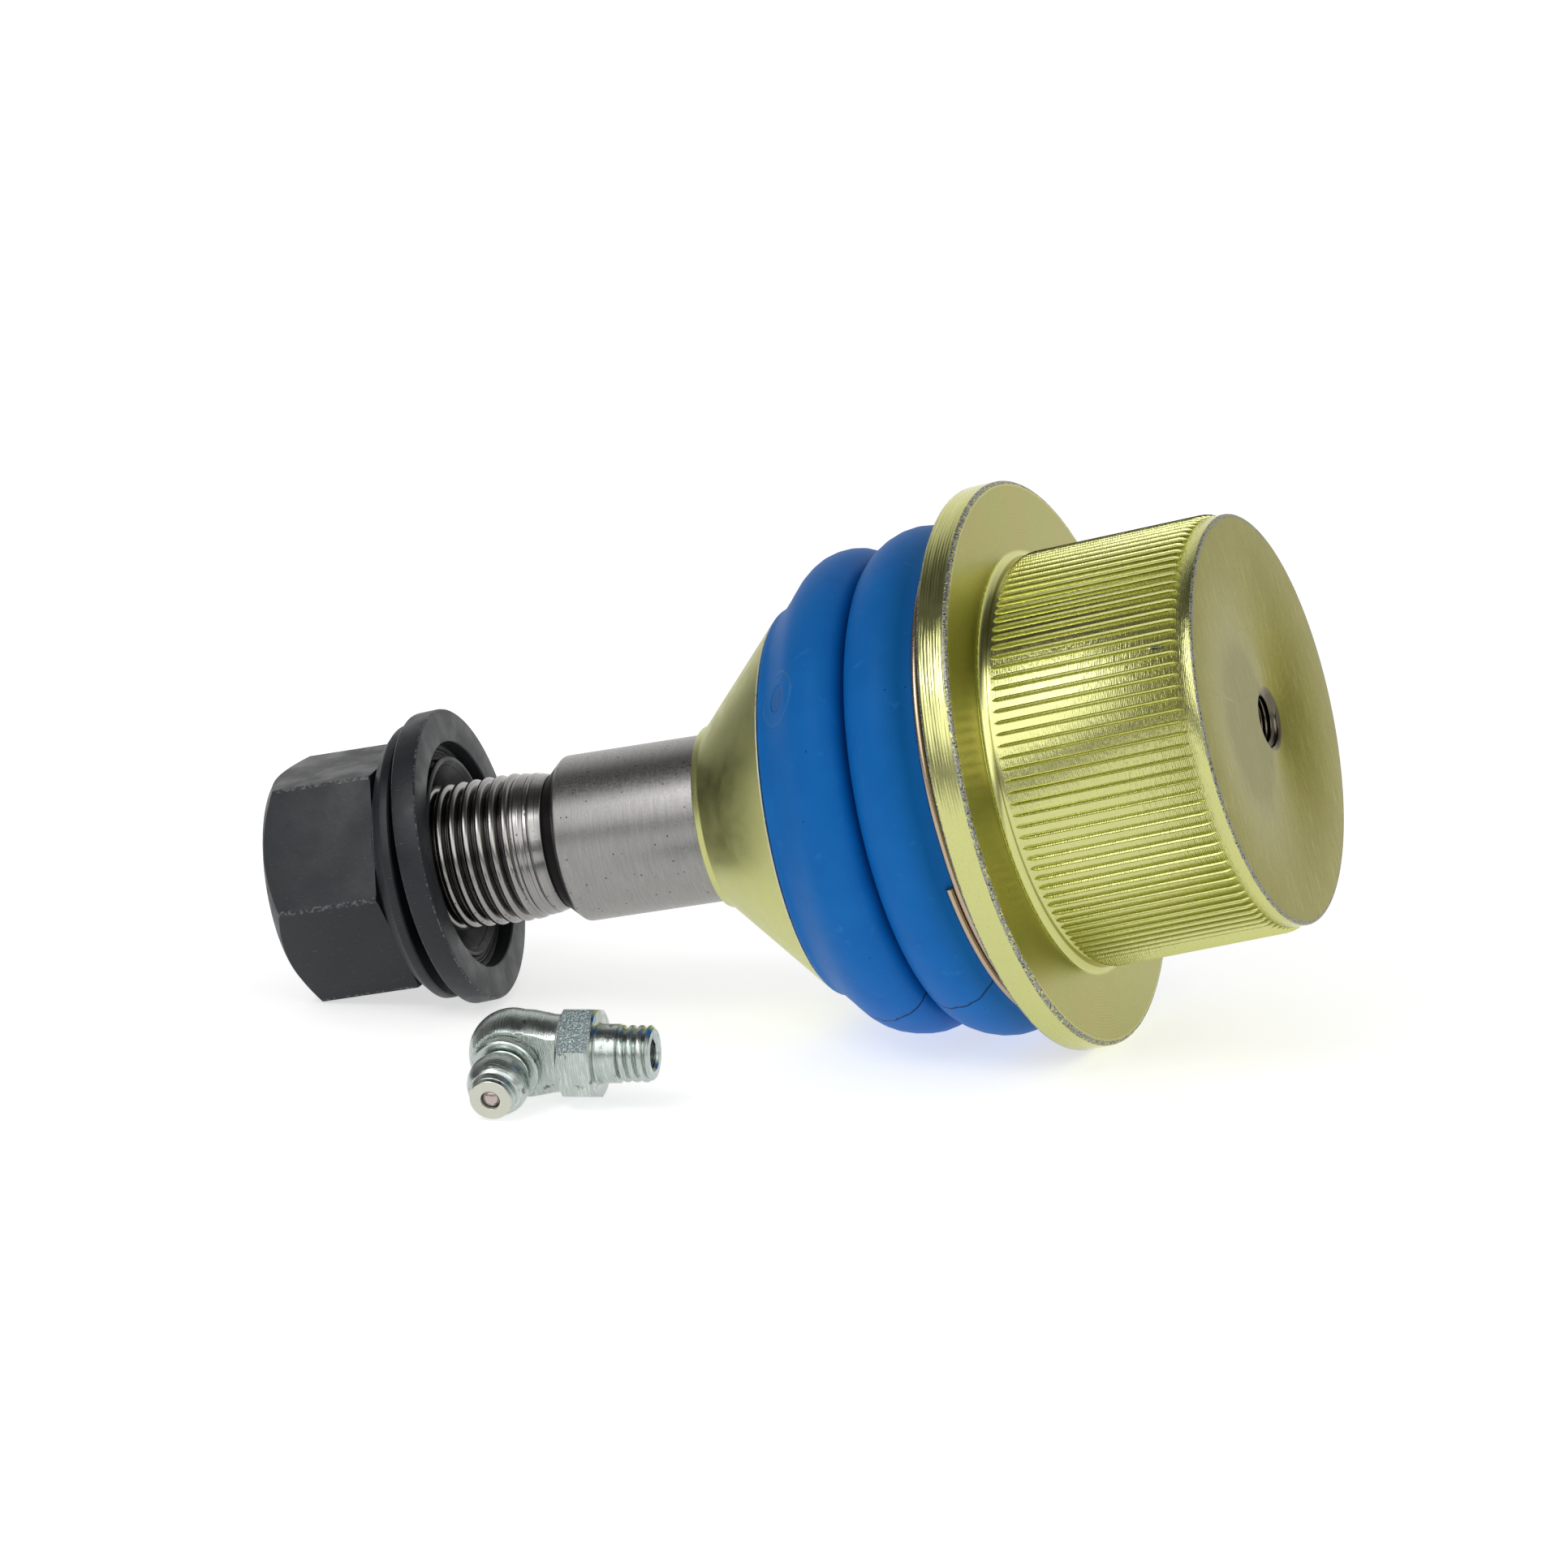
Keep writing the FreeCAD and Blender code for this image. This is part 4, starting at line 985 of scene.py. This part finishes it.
class JOINT_OT_fitting(bpy.types.Operator):
    """Model the body of the bent grease fitting: elbow, hexagon, neck and threaded end"""
    bl_idname = "joint.fitting"
    bl_label = "Grease fitting"

    def execute(self, context):
        s = measures(context.scene.fitting_sizes)
        to_head = FITTING.to_3x3().inverted() @ HEAD_AXIS
        bpy.ops.object.select_all(action="DESELECT")
        bpy.ops.mesh.primitive_uv_sphere_add(segments=96, ring_count=48, radius=s.elbow * MM)
        body = context_piece("fitting")
        tube = turned("tube", rounded([
            (0, 0), (0, s.elbow - 0.12), (2.2, s.elbow - 0.2, 3.0), (4.6, s.tube, 1.0),
            (5.9, s.tube), (5.9, 0)]), 96)
        combine(body, tube, "UNION")
        bpy.ops.object.mode_set(mode="EDIT")
        bpy.ops.mesh.select_all(action="SELECT")
        bpy.ops.mesh.bisect(plane_co=to_head * 2.6 * MM, plane_no=to_head, use_fill=True,
                            clear_outer=True)
        bpy.ops.object.mode_set(mode="OBJECT")
        soften(body, 0.25, 40.0)
        reach = s.flats / math.sqrt(3)
        start, end = s.bar_start, s.bar_end
        turn = math.atan2(to_head.y, to_head.z) + math.radians(30.0)
        bar = hexagonal("bar", s.flats, start, end, turn)
        combine(bar, turned("ends", [
            (start, 0), (start, s.flats / 2), (start + 0.5, reach + 0.1), (end - 0.5, reach + 0.1),
            (end, s.flats / 2), (end, 0)], 96), "INTERSECT")
        soften(bar, 0.12)
        combine(body, bar, "UNION")
        neck = turned("neck", rounded([
            (end - 0.5, 0), (end - 0.5, 3.6), (end, 3.6, 0.2), (end, 3.07, 0.3), (11.5, 3.07, 0.1),
            (11.75, 2.5), (14.9, 2.5), (14.9, 0)]), 96)
        combine(body, neck, "UNION")
        screw = thread("screw", s.thread, 0.42, 1.0, 11.3, s.end + 0.2, 64)
        combine(screw, turned("envelope", [
            (11.35, 0), (11.35, s.thread + 0.08), (s.end - 0.45, s.thread + 0.08),
            (s.end, s.thread - 0.4), (s.end, 0)], 96), "INTERSECT")
        combine(body, screw, "UNION")
        combine(body, turned("passage", [
            (-0.5, 0), (-0.5, s.bore), (s.end - 0.3, s.bore), (s.end + 0.2, s.bore + 0.5),
            (s.end + 0.2, 0)], 64), "DIFFERENCE")
        seat = turned("seat", [(0.55, 0), (0.55, 2.25), (3.0, 2.25), (3.0, 0)], 64)
        seat.matrix_world = FITTING.inverted() @ HEAD
        combine(body, seat, "DIFFERENCE")
        settle(body, FITTING, "fitting", ["fitting_body"],
               bright_zinc("fitting zinc", FITTING, (9.0, 0.6, 0.6), (start + 0.3, end - 0.2)),
               30.0)
        return {"FINISHED"}


class CheckSizes(bpy.types.PropertyGroup):
    mouth: length_mm("Mouth", "Radius of the nipple's mouth", 0.98)
    ball: length_mm("Ball", "Radius of the check ball", 1.2)
    gap: length_mm("Gap", "From the ball to the edge of its mouth", 0.02)
    radius: length_mm("Radius", "From the axis to the coil's wire", 0.95)
    wire: length_mm("Wire", "Thickness of the coil's wire", 0.3)
    turns: FloatProperty(name="Turns", description="How many turns the coil has", default=4.0)
    start: length_mm("Start", "Where the coil's first turn begins", 1.77)
    length: length_mm("Length", "From the coil's first turn to its last", 5.96)
    press: length_mm("Press", "How much the coil shortens, a little past the ball's travel", 1.0)


class JOINT_OT_nipple(bpy.types.Operator):
    """Model the nipple pressed into the elbow, with its collar, groove and round head"""
    bl_idname = "joint.nipple"
    bl_label = "Nipple"

    def execute(self, context):
        mouth = measures(context.scene.check_sizes).mouth
        head = turned("head", rounded([
            (0.6, 0.6), (0.6, 2.2), (2.65, 2.2), (2.65, 3.6, 0.3), (4.1, 3.6, 0.35),
            (4.1, 2.45, 0.2), (4.85, 2.45, 0.2), (4.95, 2.87, 0.1)])
            + arc((6.5, 0), 3.25, 116, 52, 12) + rounded([
                (8.55, 2.46), (9.05, 2.36), (9.1, 2.42), (9.3, 2.36), (9.35, 2.3),
                (9.9, 2.2, 0.15), (9.9, mouth + 0.04, 0.1), (9.4, mouth), (8.95, 1.35),
                (1.6, 1.35), (1.6, 0.6)]), 96, loop=True)
        settle(head, HEAD, "fitting", ["fitting_head"],
               bright_zinc("head zinc", HEAD, (5.0, 0.5, 0.5)), 30.0)
        return {"FINISHED"}


class JOINT_OT_check(bpy.types.Operator):
    """Model the check ball and the coil behind it"""
    bl_idname = "joint.check"
    bl_label = "Check ball and coil"

    def execute(self, context):
        s = measures(context.scene.check_sizes)
        bpy.ops.object.select_all(action="DESELECT")
        bpy.ops.mesh.primitive_uv_sphere_add(segments=48, ring_count=24, radius=s.ball * MM)
        ball = context_piece("check_steel_ball")
        rest = HEAD_LENGTH / MM - 0.5 - s.gap - math.sqrt(s.ball ** 2 - s.mouth ** 2)
        settle(ball, HEAD @ Matrix.Translation((rest * MM, 0, 0)), "check", ["check_ball"],
               plain_steel("ball steel", HEAD, (0.42, 0.35, 0.33, 1), 0.2), 60.0)

        coil = wire_coil("coil", s.wire, s.radius, s.turns, s.length, 12, 128)
        settle(coil, HEAD @ Matrix.Translation((s.start * MM, 0, 0)), "fitting",
               ["check_spring"],
               plain_steel("coil steel", HEAD, (0.45, 0.44, 0.42, 1), 0.3), 60.0)
        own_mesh(coil)
        return {"FINISHED"}


class JOINT_OT_finishes(bpy.types.Operator):
    """Give the frame's own pieces their finishes"""
    bl_idname = "joint.finishes"
    bl_label = "Finishes"

    def execute(self, context):
        nodes = frame["nodes"]
        bearing = plain_steel("bearing steel", HOUSING, (0.32, 0.31, 0.30, 1), 0.35)
        ring = plain_steel("ring steel", HOUSING, (0.45, 0.44, 0.42, 1), 0.3)
        for paint, names in ((bearing, ("lower_bearing_cup", "upper_bearing_ring")),
                             (ring, ("closing_ring", "spring_washer", "boot_neck_ring"))):
            for name in names:
                nodes[name].data.materials.clear()
                nodes[name].data.materials.append(paint)
        return {"FINISHED"}


class StageSizes(bpy.types.PropertyGroup):
    lens: FloatProperty(name="Lens", description="Focal length", default=186.335, unit="CAMERA")


# Where the camera stands from the ball's centre, in millimetres, and which way it looks
CAMERA_PLACE = (182.1, -817.6, 197.1)
CAMERA_AIM = (-0.2379, 0.9436, -0.2304)

# How bright metals see the surroundings, from behind, over the top, to the front and below
BELT = [(0.0, 1.05), (0.14, 1.0), (0.22, 0.8), (0.29, 0.55), (0.35, 0.15), (0.46, 0.06),
        (0.58, 0.1), (0.64, 0.9), (0.70, 1.9), (0.86, 1.9), (0.91, 0.7), (0.95, 0.3), (1.0, 0.6)]


def lay_floor():
    """A white floor that keeps the shadow."""
    bpy.ops.object.select_all(action="DESELECT")
    bpy.ops.mesh.primitive_plane_add(size=3.0, location=(0, 0, 0))
    floor = context_piece("floor")
    paint = Paint("floor", Matrix())
    floor.data.materials.append(paint.finish(
        (0.75, 0.75, 0.75, 1), 0.0, 0.9, Emission_Color=(1, 1, 1, 1), Emission_Strength=0.62))


class JOINT_OT_stage(bpy.types.Operator):
    """Set up the white floor, the surroundings, the lamps and the camera"""
    bl_idname = "joint.stage"
    bl_label = "Stage"

    def execute(self, context):
        scene = context.scene
        scene.view_settings.view_transform = "Standard"
        lay_floor()

        world = bpy.data.worlds.new("surroundings")
        scene.world = world
        world.use_nodes = True
        world.node_tree.nodes.clear()
        add = Nodes(world.node_tree).add
        direction = add("TexCoord", {}).outputs["Generated"]
        split = add("SeparateXYZ", {"Vector": direction})
        turn = add("Math", {0: split.outputs[2], 1: split.outputs[1]}, operation="ARCTAN2")
        share = add("MapRange", {"Value": turn.outputs[0], "From Min": 0.0, "From Max": math.pi})
        ramp = add("ValToRGB", {"Fac": share.outputs[0]})
        for _ in BELT[2:]:
            ramp.color_ramp.elements.new(0.5)
        for element, (place, level) in zip(ramp.color_ramp.elements, BELT):
            element.position = place
            element.color = (level / 2, level / 2, level / 2, 1)
        side = add("MapRange", {"Value": split.outputs[0], "From Min": -1.0, "From Max": 1.0,
                                "To Min": 0.05, "To Max": 0.35}).outputs[0]
        off = add("Math", {0: split.outputs[0]}, operation="ABSOLUTE").outputs[0]
        across = add("MapRange", {"Value": off, "From Min": 0.55, "From Max": 0.85}).outputs[0]
        mirror = add("Mix", {0: across, 6: ramp.outputs[0], 7: side}, data_type="RGBA").outputs[2]
        path = add("LightPath", {})
        plain = add("Background", {"Color": (1, 1, 1, 1), "Strength": 0.5})
        shown = add("Background", {"Color": (1, 1, 1, 1), "Strength": 1.0})
        mirrored = add("Background", {"Color": mirror, "Strength": 2.0})
        first = add("MixShader", {0: path.outputs["Is Glossy Ray"], 1: plain.outputs[0],
                                  2: mirrored.outputs[0]})
        last = add("MixShader", {0: path.outputs["Is Camera Ray"], 1: first.outputs[0],
                                 2: shown.outputs[0]})
        add("OutputWorld", {"Surface": last.outputs[0]})

        for name, place, size, power in (("key", (-0.25, -0.45, 0.65), 0.35, 1.1),
                                         ("fill", (0.65, -0.35, 0.45), 0.4, 0.6)):
            lamp = bpy.data.lights.new(name, "AREA")
            lamp.size, lamp.energy = size, power
            light = bpy.data.objects.new(name, lamp)
            scene.collection.objects.link(light)
            light.location = place
            light.rotation_euler = (BALL - Vector(place)).to_track_quat("-Z", "Y").to_euler()

        eye = bpy.data.cameras.new("camera")
        eye.lens = scene.stage_sizes.lens
        eye.sensor_width = 36.0
        eye.clip_start, eye.clip_end = 0.05, 20.0
        camera = bpy.data.objects.new("camera", eye)
        scene.collection.objects.link(camera)
        camera.location = BALL + Vector(CAMERA_PLACE) * MM
        camera.rotation_euler = Vector(CAMERA_AIM).to_track_quat("-Z", "Y").to_euler()
        scene.camera = camera
        return {"FINISHED"}


class JOINT_PT_panel(bpy.types.Panel):
    """Everything that models the ball joint, in order"""
    bl_idname = "JOINT_PT_panel"
    bl_label = "Ball joint"
    bl_space_type = "VIEW_3D"
    bl_region_type = "UI"
    bl_category = "Ball joint"

    def draw(self, context):
        for operator in OPERATORS:
            self.layout.operator(operator.bl_idname)
        for group in GROUPS:
            box = self.layout.box()
            values = getattr(context.scene, group)
            for name in values.bl_rna.properties.keys():
                if name not in ("rna_type", "name"):
                    box.prop(values, name)


GROUPS = {"stud_sizes": StudSizes, "nut_sizes": NutSizes, "washer_sizes": WasherSizes,
          "boot_sizes": BootSizes, "clip_sizes": ClipSizes, "cup_sizes": CupSizes,
          "housing_sizes": HousingSizes, "fitting_sizes": FittingSizes,
          "check_sizes": CheckSizes, "stage_sizes": StageSizes, "finish_colours": FinishColours}
OPERATORS = (JOINT_OT_finishes, JOINT_OT_stud, JOINT_OT_nut, JOINT_OT_washer, JOINT_OT_boot,
             JOINT_OT_clip, JOINT_OT_cup, JOINT_OT_housing, JOINT_OT_fitting, JOINT_OT_nipple,
             JOINT_OT_check, JOINT_OT_stage)


def register():
    for kind in (*GROUPS.values(), *OPERATORS, JOINT_PT_panel):
        bpy.utils.register_class(kind)
    for name, kind in GROUPS.items():
        setattr(bpy.types.Scene, name, PointerProperty(type=kind))


def unregister():
    for name in GROUPS:
        delattr(bpy.types.Scene, name)
    for kind in reversed((*GROUPS.values(), *OPERATORS, JOINT_PT_panel)):
        bpy.utils.unregister_class(kind)


def main():
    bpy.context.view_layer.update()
    register()
    for operator in OPERATORS:
        group, name = operator.bl_idname.split(".")
        getattr(getattr(bpy.ops, group), name)()


if __name__ == "__main__":
    main()
